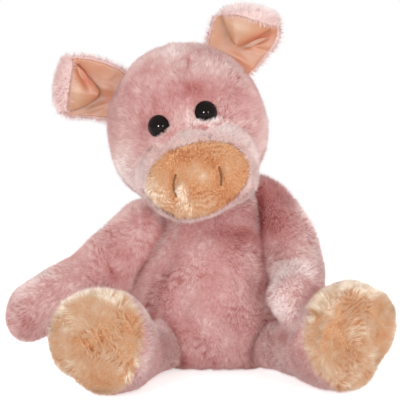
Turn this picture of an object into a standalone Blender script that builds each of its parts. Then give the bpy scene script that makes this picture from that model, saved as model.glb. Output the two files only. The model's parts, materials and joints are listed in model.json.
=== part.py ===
"""A seated plush pig, modelled as its sewn, stuffed and fitted pieces.

Metres, +Z up. The pig looks along -Y, so its own left side is at +X. The origin is the middle of the
flat patch that it sits on. Each plush skin is an open shell round its stuffing, limbs and ears turn
about empties at their seams, and the skins are as thick as the backing with its pile pressed flat.
"""

import math

import bmesh
import bpy
from mathutils import Matrix, Vector
from mathutils.bvhtree import BVHTree

# Fits between pieces
FIT = 0.0003
BALL_FIT = 0.0004
EAR_FIT = 0.0007

# Cloth
PLUSH = 0.0015
SATIN = 0.0008
THREAD_RADIUS = 0.0005

# Torso: a pear that leans to the pig's right as it rises
TORSO_HEIGHT = 0.088
TORSO_WIDTH = 0.081
TORSO_DEPTH = 0.074
TORSO_LEAN = -0.007
SEAT_SINK = 0.0005
PELLET_BAG_HEIGHT = 0.018
# height, width, depth and lean of each ring
TORSO_SHARES = (
    (0.0, 0.66, 0.66, 0.0),
    (0.07, 0.93, 0.93, 0.0),
    (0.27, 1.0, 1.0, 0.1),
    (0.48, 0.94, 0.97, 0.25),
    (0.66, 0.80, 0.87, 0.5),
    (0.82, 0.70, 0.73, 0.50),
    (0.95, 0.53, 0.52, 0.52),
)

# Head: a ball that leans to the pig's right, with its lower half fuller
HEAD_RISE = 0.0435
HEAD_CENTRE = (-0.0145, -0.014, TORSO_HEIGHT + HEAD_RISE)
HEAD_WIDTH = 0.085
HEAD_DEPTH = 0.080
HEAD_HEIGHT = 0.086
HEAD_ROLL_DEG = -17.0
HEAD_YAW_DEG = -0.5
# height from the centre, width and depth of each ring
HEAD_SHARES = (
    (-0.46, 0.42, 0.42),
    (-0.33, 0.74, 0.75),
    (-0.13, 0.98, 0.97),
    (0.09, 1.01, 0.99),
    (0.29, 0.83, 0.83),
    (0.43, 0.50, 0.52),
)

# Neck: a ball of stuffing that the head turns and nods on
NECK_RISE = 0.004
NECK_PIVOT = (-0.004, -0.005, TORSO_HEIGHT + NECK_RISE)
NECK_RADIUS = 0.0160
NECK_FIT = 0.0008

# Muzzle and snout, from the head's centre
MUZZLE_DROP = 0.0168
MUZZLE_FRONT = 0.0505
MUZZLE_BASE = 0.022
MUZZLE_WIDTH = 0.063
MUZZLE_HEIGHT = 0.052
SNOUT_WIDTH = 0.054
SNOUT_HEIGHT = 0.037
SNOUT_DOME = 0.0040
SNOUT_SLOPE = 0.0039
MUZZLE_RING_SHARES = (0.0, 0.35, 0.7, 1.0)
NOSTRIL_SPACING = 0.022
NOSTRIL_LENGTH = 0.009
NOSTRIL_DROP = 0.003
NOSTRIL_STEPS = 5

# Eyes: a plastic dome on a post, locked by a washer inside the head
EYE_SPACING = 0.0254
EYE_HEIGHT = 0.0087
EYE_RADIUS = 0.0056
EYE_DOME = 0.0042
EYE_DOME_STEPS = 6
EYE_SAG = 0.0002
EYE_POST_RADIUS = 0.0015
EYE_POST_LENGTH = 0.0075
WASHER_RADIUS = 0.0050
WASHER_THICKNESS = 0.0012
WASHER_SET = 0.0012

# Ears: a plush back and a satin lining, folded over near the tip
EAR_ANGLE_DEG = 41.0
EAR_BACK_SET = 0.002
EAR_LENGTH = 0.0330
EAR_SINK = 0.005
EAR_ROOT_WIDTH = 0.028
EAR_WIDTH = 0.034
EAR_CUP = 0.0030
EAR_FOLD_RADIUS = 0.0040
EAR_CUFF = 0.0030
EAR_FLAP = 0.0190
EAR_TIP_WIDTH = 0.0024
EAR_TAPER_POWER = 2.6
EAR_LINING_WIDTH_SHARE = 0.95
EAR_COLUMNS = 3
# where the ear's rows lie, from its root to the fold, round the fold and past it
EAR_STRAIGHT_SHARES = (0.0, 0.4, 0.8)
EAR_ARC_SHARES = (0.0, 0.33, 0.67, 1.0)
EAR_PAST_SHARES = (0.5, 1.0)
EAR_RIGHT_POINT_DEG = 26.0
EAR_LEFT_POINT_DEG = 53.0

# Roots of the limbs: the ring inside each ball, and the pole beyond that ring
ROOT_DEPTH_SHARE = 0.62
ROOT_SIZE_SHARE = 0.82
ROOT_POLE_SHARE = 0.50
MOUTH_SHARE = 0.62

# Arms
SHOULDER_RIGHT_HEIGHT_SHARE = 0.849
SHOULDER_LEFT_HEIGHT_SHARE = 0.955
SHOULDER_RIGHT = (-0.0389, 0.0, SHOULDER_RIGHT_HEIGHT_SHARE * TORSO_HEIGHT)
SHOULDER_LEFT = (0.0345, 0.0040, SHOULDER_LEFT_HEIGHT_SHARE * TORSO_HEIGHT)
SHOULDER_RADIUS = 0.0150
ARM_RADIUS = 0.0134
HAND_RIGHT_RADIUS = 0.0142
HAND_LEFT_RADIUS = 0.0124
UPPER_ARM_RIGHT = 0.036
UPPER_ARM_LEFT = 0.040
FOREARM_RIGHT = 0.042
FOREARM_LEFT = 0.029
# out to the side, and forward from hanging
RIGHT_UPPER_ARM_DEG = (52.0, -2.0)
RIGHT_FOREARM_DEG = (54.0, -2.0)
LEFT_UPPER_ARM_DEG = (18.6, 31.8)
LEFT_FOREARM_DEG = (-9.3, 71.0)
# run down the forearm and size beside the hand of each ring, then the rounded end of the hand
UPPER_ARM_SHARE = 0.45
FOREARM_SHARES = ((0.40, 0.96), (0.78, 1.0), (1.0, 0.94))
HAND_TIP_SHARES = (0.66, 0.62)
HAND_POLE_SHARE = 0.34

# Legs
HIP_SIDE = 0.0280
HIP_FORWARD = 0.0225
HIP_HEIGHT = 0.0140
HIP_RADIUS = 0.0132
THIGH_RADIUS = 0.0125
FOOT_RADIUS = 0.0272
SOLE_RADIUS = 0.0262
FOOT_RISE = 0.0142
SOLE_DOME = 0.0045
LEG_REACH = 0.0635
RIGHT_SPLAY_DEG = 31.0
LEFT_SPLAY_DEG = 41.0
# reach, rise and swelling from thigh to foot of each ring
LEG_SHARES = (
    (0.17, 0.0, -0.11),
    (0.38, 0.0, 0.0),
    (0.56, 0.10, 0.08),
    (0.68, 0.85, 0.80),
    (0.85, 1.0, 1.0),
)

# Tail: a short cord, curled once
TAIL_HEIGHT = 0.024
TAIL_RADIUS = 0.0020
TAIL_COIL_RADIUS = 0.0050
TAIL_PITCH = 0.0068
TAIL_TURNS = 1.2
TAIL_POINTS = 18
TAIL_FIT = 0.0009

# Closing seam: the hand stitches down the middle of the back
CLOSING_SEAM_LOW = 0.036
CLOSING_SEAM_LENGTH = 0.030
CLOSING_STITCHES = 9
CLOSING_STITCH_WIDTH = 0.0028

# size and rise of each ring of a domed pad, which starts with a straight lip, and what fills it
DOME_SHARES = ((1.0, 0.0), (1.0, 0.3), (0.78, 0.85))
DOME_FILL_SHARE = 0.93
SOLE_POLE_SHARE = 0.04

# Cutters run this far past what they cut, and turned shapes close where they meet their axis
OVERRUN = 0.006
MERGE_DISTANCE = 0.00001

# Rings of each cage
TORSO_SEGMENTS = 10
HEAD_SEGMENTS = 10
LIMB_SEGMENTS = 8
MUZZLE_SEGMENTS = 10
BALL_SEGMENTS = 16

UP = Vector((0.0, 0.0, 1.0))
FRONT = Vector((0.0, -1.0, 0.0))

PINK = (0.60, 0.29, 0.30)
PALE_PINK = (0.78, 0.52, 0.51)
PEACH = (0.75, 0.42, 0.21)
SATIN_PEACH = (0.79, 0.40, 0.23)
FIBRE = (0.85, 0.84, 0.81)
BAG_CLOTH = (0.80, 0.78, 0.72)
EYE_BLACK = (0.012, 0.010, 0.010)
WASHER_WHITE = (0.80, 0.80, 0.78)


def start_scene():
    for obj in list(bpy.data.objects):
        bpy.data.objects.remove(obj, do_unlink=True)
    collections = {}
    for name in ("plush_pig", "cutters"):
        collections[name] = bpy.data.collections.new(name)
        bpy.context.scene.collection.children.link(collections[name])
    return collections["plush_pig"], collections["cutters"]


PARTS, CUTTERS = start_scene()


def material(name, colour, roughness, metallic=0.0):
    made = bpy.data.materials.new(name)
    made.use_nodes = True
    shader = made.node_tree.nodes["Principled BSDF"]
    shader.inputs["Base Color"].default_value = (*colour, 1.0)
    shader.inputs["Roughness"].default_value = roughness
    shader.inputs["Metallic"].default_value = metallic
    made.diffuse_color = (*colour, 1.0)
    return made


def empty(name, place, parent=None):
    made = bpy.data.objects.new(name, None)
    made.empty_display_size = NECK_RADIUS
    PARTS.objects.link(made)
    attach(made, Matrix.Translation(place), parent)
    return made


def attach(obj, frame, parent=None):
    """Puts an object at a world frame, under its parent."""
    obj.parent = parent
    obj.matrix_basis = frame if parent is None else world_of(parent).inverted() @ frame


def world_of(obj):
    """An empty's world frame, before the scene has worked it out."""
    return obj.matrix_basis if obj.parent is None else world_of(obj.parent) @ obj.matrix_basis


def add_object(name, mesh, look=None, frame=None, parent=None, is_cutter=False):
    obj = bpy.data.objects.new(name, mesh)
    (CUTTERS if is_cutter else PARTS).objects.link(obj)
    attach(obj, frame or Matrix.Identity(4), parent)
    if look:
        mesh.materials.append(look)
    mesh.shade_smooth()
    if is_cutter:
        obj.hide_render = True
        obj.display_type = "WIRE"
    return obj


def add_subdivision(obj):
    modifier = obj.modifiers.new("round", "SUBSURF")
    modifier.levels = 1
    modifier.render_levels = 1


def add_thickness(obj, thickness):
    modifier = obj.modifiers.new("cloth", "SOLIDIFY")
    modifier.thickness = thickness
    modifier.offset = -1.0


def add_growth(obj, distance):
    """Moves the whole surface out by a distance, or in where that is negative."""
    modifier = obj.modifiers.new("growth", "DISPLACE")
    modifier.mid_level = 0.0
    modifier.strength = distance


def cut(obj, *cutters):
    for cutter in cutters:
        modifier = obj.modifiers.new(f"cut_{cutter.name}", "BOOLEAN")
        modifier.operation = "DIFFERENCE"
        modifier.solver = "EXACT"
        modifier.object = cutter


def ring(centre, along, up, half_across, half_up, segments):
    """One ring of a cage, counter-clockwise about the direction along, just outside its round form."""
    across = up.cross(along).normalized()
    rise = along.cross(across).normalized()
    swell = 1.0 / math.cos(math.pi / segments)
    points = []
    for step in range(segments):
        angle = 2.0 * math.pi * step / segments
        points.append(
            centre
            + across * (half_across * swell * math.cos(angle))
            + rise * (half_up * swell * math.sin(angle))
        )
    return points


def cage(name, rings, start_pole=None, end_pole=None):
    """Joins rings of one length, and closes either end on a point."""
    mesh = bpy.data.meshes.new(name)
    form = bmesh.new()
    rows = [[form.verts.new(point) for point in points] for points in rings]
    count = len(rows[0])
    for low, high in zip(rows, rows[1:]):
        for step in range(count):
            after = (step + 1) % count
            form.faces.new((low[step], low[after], high[after], high[step]))
    for pole, row, is_end in ((start_pole, rows[0], False), (end_pole, rows[-1], True)):
        if pole is None:
            continue
        tip = form.verts.new(pole)
        for step in range(count):
            pair = (row[step], row[(step + 1) % count])
            form.faces.new((*(pair if is_end else reversed(pair)), tip))
    form.to_mesh(mesh)
    form.free()
    return mesh


def ball(name, place, radius, look=None, parent=None, is_cutter=True):
    mesh = bpy.data.meshes.new(name)
    form = bmesh.new()
    bmesh.ops.create_uvsphere(
        form, u_segments=BALL_SEGMENTS, v_segments=BALL_SEGMENTS // 2, radius=radius
    )
    form.to_mesh(mesh)
    form.free()
    return add_object(name, mesh, look, Matrix.Translation(place), parent, is_cutter)


def box_cutter(name, low_height, high_height):
    """A slab under or over a height, wider than the torso."""
    mesh = bpy.data.meshes.new(name)
    form = bmesh.new()
    side = TORSO_WIDTH + TORSO_DEPTH
    size = Matrix.Diagonal((side, side, high_height - low_height, 1.0))
    bmesh.ops.create_cube(form, size=1.0, matrix=size)
    form.to_mesh(mesh)
    form.free()
    middle = (0.0, 0.0, (low_height + high_height) / 2.0)
    return add_object(name, mesh, None, Matrix.Translation(middle), None, True)


def turned(name, profile, frame, look=None, parent=None, is_cutter=False):
    """A shape turned about its own Z. Its profile starts at the top and runs down its outside."""
    mesh = bpy.data.meshes.new(name)
    form = bmesh.new()
    points = [form.verts.new((radius, 0.0, height)) for radius, height in profile]
    closes = profile[0][0] > 0.0
    for start, end in zip(points, points[1:] + points[:1] if closes else points[1:]):
        form.edges.new((start, end))
    form.to_mesh(mesh)
    form.free()
    obj = add_object(name, mesh, look, frame, parent, is_cutter)
    modifier = obj.modifiers.new("turn", "SCREW")
    modifier.steps = BALL_SEGMENTS
    modifier.render_steps = BALL_SEGMENTS
    modifier.use_merge_vertices = True
    modifier.merge_threshold = MERGE_DISTANCE
    modifier.use_smooth_shade = True
    return obj


def thread(name, points, radius, look, frame, parent, resolution=1):
    curve = bpy.data.curves.new(name, "CURVE")
    curve.dimensions = "3D"
    curve.bevel_depth = radius
    curve.bevel_resolution = resolution
    curve.use_fill_caps = True
    line = curve.splines.new("POLY")
    line.points.add(len(points) - 1)
    for point, place in zip(line.points, points):
        point.co = (*place, 1.0)
    obj = bpy.data.objects.new(name, curve)
    PARTS.objects.link(obj)
    curve.materials.append(look)
    attach(obj, frame, parent)
    return obj


def surface_of(obj):
    """The outer surface as it stands, in the object's own frame, for seating other pieces on it."""
    graph = bpy.context.evaluated_depsgraph_get()
    return BVHTree.FromObject(obj, graph)


def seat_on(surface, origin, direction):
    """Where a straight line meets a surface, and how the surface faces there."""
    place, normal, _, _ = surface.ray_cast(Vector(origin), Vector(direction).normalized())
    return place, normal


def seat_disc(surface, origin, direction, radius):
    """Where a disc lies on a rounded surface: its middle, and how it faces."""
    across = Vector(direction).cross(UP)
    rim = [seat_on(surface, origin + out * radius, direction)[0] for out in (across, -across, UP, -UP)]
    normal = (rim[0] - rim[1]).cross(rim[3] - rim[2]).normalized()
    if normal.dot(direction) > 0.0:
        normal.negate()
    return seat_on(surface, origin, direction)[0], normal


def facing(place, normal):
    """A frame at a place, with its Z along the normal."""
    return Matrix.Translation(place) @ normal.to_track_quat("Z", "Y").to_matrix().to_4x4()


def arm_direction(side, angles_deg):
    out, forward = (math.radians(angle) for angle in angles_deg)
    return Vector(
        (
            side * math.sin(out),
            -math.cos(out) * math.sin(forward),
            -math.cos(out) * math.cos(forward),
        )
    )


SEAT_LOW = UP * -SEAT_SINK


def torso_form(name, grow, look=None, is_cutter=False):
    """The torso's form, grown or shrunk all over."""
    rings = []
    for height, width, depth, lean in TORSO_SHARES:
        centre = SEAT_LOW + UP * (height * TORSO_HEIGHT)
        centre.x += lean * TORSO_LEAN
        half_width = width * TORSO_WIDTH / 2.0
        half_depth = depth * TORSO_DEPTH / 2.0
        rings.append(ring(centre, UP, FRONT, half_width, half_depth, TORSO_SEGMENTS))
    top = SEAT_LOW + UP * TORSO_HEIGHT
    top.x += TORSO_LEAN
    obj = add_object(name, cage(name, rings, SEAT_LOW, top), look, is_cutter=is_cutter)
    add_subdivision(obj)
    add_growth(obj, grow)
    return obj


# Head

HEAD_FRAME = (
    Matrix.Translation(HEAD_CENTRE)
    @ Matrix.Rotation(math.radians(HEAD_YAW_DEG), 4, "Z")
    @ Matrix.Rotation(math.radians(HEAD_ROLL_DEG), 4, "Y")
)


def head_form(name, grow, look=None, parent=None, is_cutter=False):
    """The head's form, grown or shrunk all over."""
    rings = []
    for height, width, depth in HEAD_SHARES:
        half_width = width * HEAD_WIDTH / 2.0
        half_depth = depth * HEAD_DEPTH / 2.0
        centre = UP * (height * HEAD_HEIGHT)
        rings.append(ring(centre, UP, FRONT, half_width, half_depth, HEAD_SEGMENTS))
    reach = UP * (HEAD_HEIGHT / 2.0)
    obj = add_object(name, cage(name, rings, -reach, reach), look, HEAD_FRAME, parent, is_cutter)
    add_subdivision(obj)
    add_growth(obj, grow)
    return obj


def muzzle_rings(shares):
    """Rings of the muzzle, from 0 where it starts inside the head to 1 at the snout's edge."""
    rings = []
    for share in shares:
        reach = MUZZLE_BASE + (MUZZLE_FRONT - MUZZLE_BASE) * share
        half_width = (MUZZLE_WIDTH + (SNOUT_WIDTH - MUZZLE_WIDTH) * share) / 2.0
        half_height = (MUZZLE_HEIGHT + (SNOUT_HEIGHT - MUZZLE_HEIGHT) * share) / 2.0
        centre = FRONT * reach - UP * (MUZZLE_DROP + SNOUT_SLOPE * share)
        rings.append(ring(centre, FRONT, UP, half_width, half_height, MUZZLE_SEGMENTS))
    return rings


def snout_centre(forward):
    return FRONT * (MUZZLE_FRONT + forward) - UP * (MUZZLE_DROP + SNOUT_SLOPE)


def snout_rings(fill_share=1.0):
    """The snout's dome, from its edge to near its middle."""
    rings = []
    for size_share, rise_share in DOME_SHARES:
        half_width = fill_share * size_share * SNOUT_WIDTH / 2.0
        half_height = fill_share * size_share * SNOUT_HEIGHT / 2.0
        centre = snout_centre(rise_share * SNOUT_DOME + FIT)
        rings.append(ring(centre, FRONT, UP, half_width, half_height, MUZZLE_SEGMENTS))
    return rings


def muzzle_form(name, rings, grow, look=None, parent=None, is_cutter=False):
    """A closed form that follows the muzzle."""
    start = FRONT * MUZZLE_BASE - UP * MUZZLE_DROP
    mesh = cage(name, rings, start, snout_centre(SNOUT_DOME + FIT))
    obj = add_object(name, mesh, look, HEAD_FRAME, parent, is_cutter)
    add_subdivision(obj)
    add_growth(obj, grow)
    return obj


# Ears


def ear_path(inset, past_fold):
    """Steps along the ear, from inside the head, round the fold and back: out, forward, turn and run."""
    radius = EAR_FOLD_RADIUS - inset
    fold = EAR_LENGTH - EAR_FOLD_RADIUS
    straight = EAR_SINK + fold
    arc = math.pi * radius
    runs = [straight * share for share in EAR_STRAIGHT_SHARES]
    runs += [straight + arc * share for share in EAR_ARC_SHARES]
    runs += [straight + arc + past_fold * share for share in EAR_PAST_SHARES]
    points = []
    for run in runs:
        turn = min(math.pi, max(0.0, run - straight) / radius)
        past = max(0.0, run - straight - arc)
        out = min(run, straight) - EAR_SINK + radius * math.sin(turn) - past
        points.append((out, EAR_FOLD_RADIUS - radius * math.cos(turn), turn, run))
    return points, straight, arc


def ear_half_width(run, straight, arc):
    """Half the ear's width: it widens to the fold, and narrows from there to its tip."""
    if run <= straight:
        share = max(0.0, (run - EAR_SINK) / (straight - EAR_SINK))
        swell = math.sin(share * math.pi / 2.0)
        return (EAR_ROOT_WIDTH + (EAR_WIDTH - EAR_ROOT_WIDTH) * swell) / 2.0
    share = min(1.0, (run - straight) / (arc + EAR_FLAP))
    return (EAR_WIDTH + (EAR_TIP_WIDTH - EAR_WIDTH) * share**EAR_TAPER_POWER) / 2.0


def ear_sheet(name, frame, inset, past_fold, thickness, width_share, look, parent):
    """One layer of an ear, as an open sheet given its thickness."""
    mesh = bpy.data.meshes.new(name)
    form = bmesh.new()
    points, straight, arc = ear_path(inset, past_fold)
    rows = []
    for out, forward, turn, run in points:
        half = width_share * ear_half_width(run, straight, arc)
        row = []
        for column in range(EAR_COLUMNS + 1):
            across = 2.0 * column / EAR_COLUMNS - 1.0
            cup = EAR_CUP * across * across * min(1.0, run / straight)
            place = (across * half, out - cup * math.sin(turn), forward + cup * math.cos(turn))
            row.append(form.verts.new(place))
        rows.append(row)
    for low, high in zip(rows, rows[1:]):
        for column in range(EAR_COLUMNS):
            form.faces.new((low[column], low[column + 1], high[column + 1], high[column]))
    form.to_mesh(mesh)
    form.free()
    obj = add_object(name, mesh, look, frame, parent)
    add_subdivision(obj)
    add_thickness(obj, thickness)
    return obj


def ear_root(side):
    """The middle of an ear's seam, on the head's surface, in the head's frame."""
    angle = math.radians(EAR_ANGLE_DEG)
    outward = Vector((side * math.cos(angle), 0.0, math.sin(angle)))
    middle = Vector((0.0, EAR_BACK_SET, 0.0))
    place, _ = seat_on(HEAD_SURFACE, middle + outward * (HEAD_WIDTH + HEAD_HEIGHT), -outward)
    return place


def ear_frame(side, point_deg):
    """X along the seam, Y to the fold and Z out of the lining."""
    angle = math.radians(point_deg)
    out = Vector((side * math.cos(angle), 0.0, math.sin(angle)))
    along = out.cross(FRONT)
    turn = Matrix((along, out, FRONT)).transposed().to_4x4()
    return HEAD_FRAME @ Matrix.Translation(ear_root(side)) @ turn


# Limbs


def root_station(place, along, radius):
    return (place - along * (radius * ROOT_DEPTH_SHARE), along, radius * ROOT_SIZE_SHARE)


def arm_stations(side, arm):
    """Centres, directions and radii down an arm, from the shoulder's ball to the hand."""
    upper = arm_direction(side, arm["upper_deg"])
    fore = arm_direction(side, arm["fore_deg"])
    shoulder, forearm, hand_radius = Vector(arm["shoulder"]), arm["forearm"], arm["hand"]
    elbow = shoulder + upper * arm["upper"]
    stations = [
        root_station(shoulder, upper, SHOULDER_RADIUS),
        (shoulder, upper, SHOULDER_RADIUS),
        (shoulder + upper * (arm["upper"] * UPPER_ARM_SHARE), upper, ARM_RADIUS),
        (elbow, (upper + fore).normalized(), ARM_RADIUS),
    ]
    for run_share, size_share in FOREARM_SHARES:
        place = elbow + fore * (forearm * run_share)
        stations.append((place, fore, hand_radius * size_share))
    tip_run_share, tip_size_share = HAND_TIP_SHARES
    tip = elbow + fore * (forearm + hand_radius * tip_run_share)
    stations.append((tip, fore, hand_radius * tip_size_share))
    return stations


def limb_form(name, stations, start_reach, end_reach, up, look, parent, grow=0.0):
    """A limb's form. It is open at an end that has no reach."""
    rings = [
        ring(centre, along, up, radius, radius, LIMB_SEGMENTS)
        for centre, along, radius in stations
    ]
    first, last = stations[0], stations[-1]
    start = None if start_reach is None else first[0] - first[1] * start_reach
    end = None if end_reach is None else last[0] + last[1] * end_reach
    obj = add_object(name, cage(name, rings, start, end), look, parent=parent)
    add_subdivision(obj)
    if grow:
        add_growth(obj, grow)
    else:
        add_thickness(obj, PLUSH)
    return obj


def leg_direction(side, splay_deg):
    splay = math.radians(splay_deg)
    return Vector((side * math.sin(splay), -math.cos(splay), 0.0))


def leg_stations(side, splay_deg):
    """Centres, directions and radii down a leg, from the hip's ball to the sole's edge."""
    along = leg_direction(side, splay_deg)
    hip = hip_place(side)
    stations = [root_station(hip, along, HIP_RADIUS), (hip, along, HIP_RADIUS)]
    for reach, rise, swell in LEG_SHARES:
        radius = THIGH_RADIUS + (FOOT_RADIUS - THIGH_RADIUS) * swell
        centre = hip + along * (reach * LEG_REACH) + UP * (rise * FOOT_RISE)
        stations.append((centre, along, radius))
    stations.append((sole_centre(side, splay_deg), along, SOLE_RADIUS))
    return stations


def hip_place(side):
    return Vector((side * HIP_SIDE, -HIP_FORWARD, HIP_HEIGHT))


def sole_centre(side, splay_deg):
    reach = leg_direction(side, splay_deg) * LEG_REACH
    return hip_place(side) + reach + UP * FOOT_RISE


def sole_stations(side, splay_deg, fill_share=1.0):
    """The sole's dome, from its edge to near its middle."""
    along = leg_direction(side, splay_deg)
    centre = sole_centre(side, splay_deg) + along * FIT
    radius = SOLE_RADIUS * fill_share
    return [
        (centre + along * (SOLE_DOME * rise_share), along, radius * size_share)
        for size_share, rise_share in DOME_SHARES
    ]


# Looks of the pieces
plush_pink = material("pink_plush", PINK, 0.95)
plush_pale = material("pale_pink_plush", PALE_PINK, 0.95)
plush_peach = material("peach_plush", PEACH, 0.95)
satin = material("peach_satin", SATIN_PEACH, 0.55)
fibre = material("white_fibre", FIBRE, 1.0)
bag_cloth = material("bag_cloth", BAG_CLOTH, 0.9)
black_plastic = material("black_plastic", EYE_BLACK, 0.08)
white_plastic = material("white_plastic", WASHER_WHITE, 0.4)
pink_thread = material("pink_thread", PINK, 0.7)
peach_thread = material("peach_thread", PEACH, 0.7)

# Pivots of everything that moves
neck_pivot = empty("neck_pivot", NECK_PIVOT)
head_pivot = empty("head_pivot", NECK_PIVOT, neck_pivot)
RIGHT_ARM = {
    "shoulder": SHOULDER_RIGHT,
    "upper_deg": RIGHT_UPPER_ARM_DEG,
    "fore_deg": RIGHT_FOREARM_DEG,
    "upper": UPPER_ARM_RIGHT,
    "forearm": FOREARM_RIGHT,
    "hand": HAND_RIGHT_RADIUS,
}
LEFT_ARM = {
    "shoulder": SHOULDER_LEFT,
    "upper_deg": LEFT_UPPER_ARM_DEG,
    "fore_deg": LEFT_FOREARM_DEG,
    "upper": UPPER_ARM_LEFT,
    "forearm": FOREARM_LEFT,
    "hand": HAND_LEFT_RADIUS,
}
# name, side, arm, the leg's splay and the way the ear points
SIDES = (
    ("right", -1, RIGHT_ARM, RIGHT_SPLAY_DEG, EAR_RIGHT_POINT_DEG),
    ("left", 1, LEFT_ARM, LEFT_SPLAY_DEG, EAR_LEFT_POINT_DEG),
)

# Sockets shared by the torso's skin and what fills it
neck_socket = ball("neck_socket", NECK_PIVOT, NECK_RADIUS + NECK_FIT)
sockets = [neck_socket]
for side_name, side, arm, _, _ in SIDES:
    socket_radius = SHOULDER_RADIUS + BALL_FIT
    sockets.append(ball(f"shoulder_socket_{side_name}", arm["shoulder"], socket_radius))
    sockets.append(ball(f"hip_socket_{side_name}", hip_place(side), HIP_RADIUS + BALL_FIT))
below_floor = box_cutter("below_floor", -OVERRUN, 0.0)

# Torso: skin, stuffing and the bag of pellets that it sits on
filling = -PLUSH - FIT
torso_skin = torso_form("torso_skin", 0.0, plush_pink)
torso_hollow = torso_form("torso_hollow", -PLUSH, is_cutter=True)
cut(torso_skin, torso_hollow, below_floor, *sockets)
torso_stuffing = torso_form("torso_stuffing", filling, fibre)
bag_space = box_cutter("bag_space", -OVERRUN, PELLET_BAG_HEIGHT + FIT)
cut(torso_stuffing, bag_space, *sockets)
pellet_bag = torso_form("pellet_bag", filling, bag_cloth)
above_bag = box_cutter("above_bag", PELLET_BAG_HEIGHT, TORSO_HEIGHT + OVERRUN)
cut(pellet_bag, above_bag, *sockets[1:])

# Neck
ball("neck_stuffing", NECK_PIVOT, NECK_RADIUS, fibre, neck_pivot, False)

# Head: skin, stuffing, muzzle and snout
head_outside = head_form("head_outside", FIT, is_cutter=True)
head_hollow = head_form("head_hollow", -PLUSH, is_cutter=True)
head_ear_space = head_form("head_ear_space", EAR_FIT, is_cutter=True)
bpy.context.view_layer.update()
HEAD_SURFACE = surface_of(head_outside)

band_rings = muzzle_rings(MUZZLE_RING_SHARES)
muzzle_hole = muzzle_form("muzzle_hole", band_rings, -PLUSH, is_cutter=True)
head_skin = head_form("head_skin", 0.0, plush_pink, head_pivot)
cut(head_skin, head_hollow, neck_socket, muzzle_hole)
head_stuffing = head_form("head_stuffing", filling, fibre, head_pivot)
cut(head_stuffing, neck_socket)

muzzle_band = add_object(
    "muzzle_band", cage("muzzle_band", band_rings), plush_pale, HEAD_FRAME, head_pivot
)
add_subdivision(muzzle_band)
add_thickness(muzzle_band, PLUSH)
cut(muzzle_band, head_outside)

fill_rings = muzzle_rings(MUZZLE_RING_SHARES[:-1]) + snout_rings(DOME_FILL_SHARE)
muzzle_stuffing = muzzle_form("muzzle_stuffing", fill_rings, filling, fibre, head_pivot)
cut(muzzle_stuffing, head_hollow)

dome_mesh = cage("snout_pad", snout_rings(), None, snout_centre(SNOUT_DOME + FIT))
snout_pad = add_object("snout_pad", dome_mesh, plush_peach, HEAD_FRAME, head_pivot)
add_subdivision(snout_pad)
add_thickness(snout_pad, PLUSH)
bpy.context.view_layer.update()
SNOUT_SURFACE = surface_of(snout_pad)

# Eyes and nostril stitches
eye_cap = EYE_DOME / 2.0 + EYE_RADIUS**2 / (2.0 * EYE_DOME)
for side_name, side, _, _, _ in SIDES:
    start = Vector((side * EYE_SPACING / 2.0, 0.0, EYE_HEIGHT)) + FRONT * HEAD_DEPTH
    place, normal = seat_disc(HEAD_SURFACE, start, -FRONT, EYE_RADIUS)
    eye_frame = HEAD_FRAME @ facing(place + normal * EYE_SAG, normal)
    dome = []
    for step in range(EYE_DOME_STEPS + 1):
        angle = math.asin(EYE_RADIUS / eye_cap) * step / EYE_DOME_STEPS
        dome.append((eye_cap * math.sin(angle), eye_cap * (math.cos(angle) - 1.0) + EYE_DOME + FIT))
    profile = dome + [
        (EYE_RADIUS - FIT, 0.0),
        (EYE_POST_RADIUS, 0.0),
        (EYE_POST_RADIUS, -EYE_POST_LENGTH),
        (0.0, -EYE_POST_LENGTH),
    ]
    turned(f"eye_{side_name}", profile, eye_frame, black_plastic, head_pivot)
    washer_top = -(PLUSH + FIT + WASHER_SET)
    washer_low = washer_top - WASHER_THICKNESS
    bore = EYE_POST_RADIUS + FIT
    washer = [
        (bore, washer_top),
        (WASHER_RADIUS, washer_top),
        (WASHER_RADIUS, washer_low),
        (bore, washer_low),
    ]
    turned(f"eye_washer_{side_name}", washer, eye_frame, white_plastic, head_pivot)
    post_hole = turned(
        f"post_hole_{side_name}",
        [(0.0, OVERRUN), (bore, OVERRUN), (bore, -OVERRUN), (0.0, -OVERRUN)],
        eye_frame,
        is_cutter=True,
    )
    cut(head_skin, post_hole)
    room = WASHER_RADIUS + FIT
    pocket_low = -(EYE_POST_LENGTH + FIT)
    washer_pocket = turned(
        f"washer_pocket_{side_name}",
        [(0.0, OVERRUN), (room, OVERRUN), (room, pocket_low), (0.0, pocket_low)],
        eye_frame,
        is_cutter=True,
    )
    cut(head_stuffing, washer_pocket)

    nostril = []
    for step in range(NOSTRIL_STEPS + 1):
        height = (step / NOSTRIL_STEPS - 0.5) * NOSTRIL_LENGTH - NOSTRIL_DROP
        start = snout_centre(SNOUT_DOME + OVERRUN) + UP * height
        start.x = side * NOSTRIL_SPACING / 2.0
        place, normal = seat_on(SNOUT_SURFACE, start, -FRONT)
        nostril.append(place + normal * (THREAD_RADIUS + FIT))
    thread(
        f"nostril_thread_{side_name}", nostril, THREAD_RADIUS, peach_thread, HEAD_FRAME, head_pivot
    )

# Ears
for side_name, side, _, _, point_deg in SIDES:
    frame = ear_frame(side, point_deg)
    ear_pivot = empty(f"ear_pivot_{side_name}", frame.translation, head_pivot)
    back = ear_sheet(
        f"ear_back_{side_name}", frame, 0.0, EAR_CUFF, PLUSH, 1.0, plush_pink, ear_pivot
    )
    lining = ear_sheet(
        f"ear_lining_{side_name}",
        frame,
        SATIN + FIT,
        EAR_FLAP,
        SATIN,
        EAR_LINING_WIDTH_SHARE,
        satin,
        ear_pivot,
    )
    cut(back, head_ear_space)
    cut(lining, head_ear_space)

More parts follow.
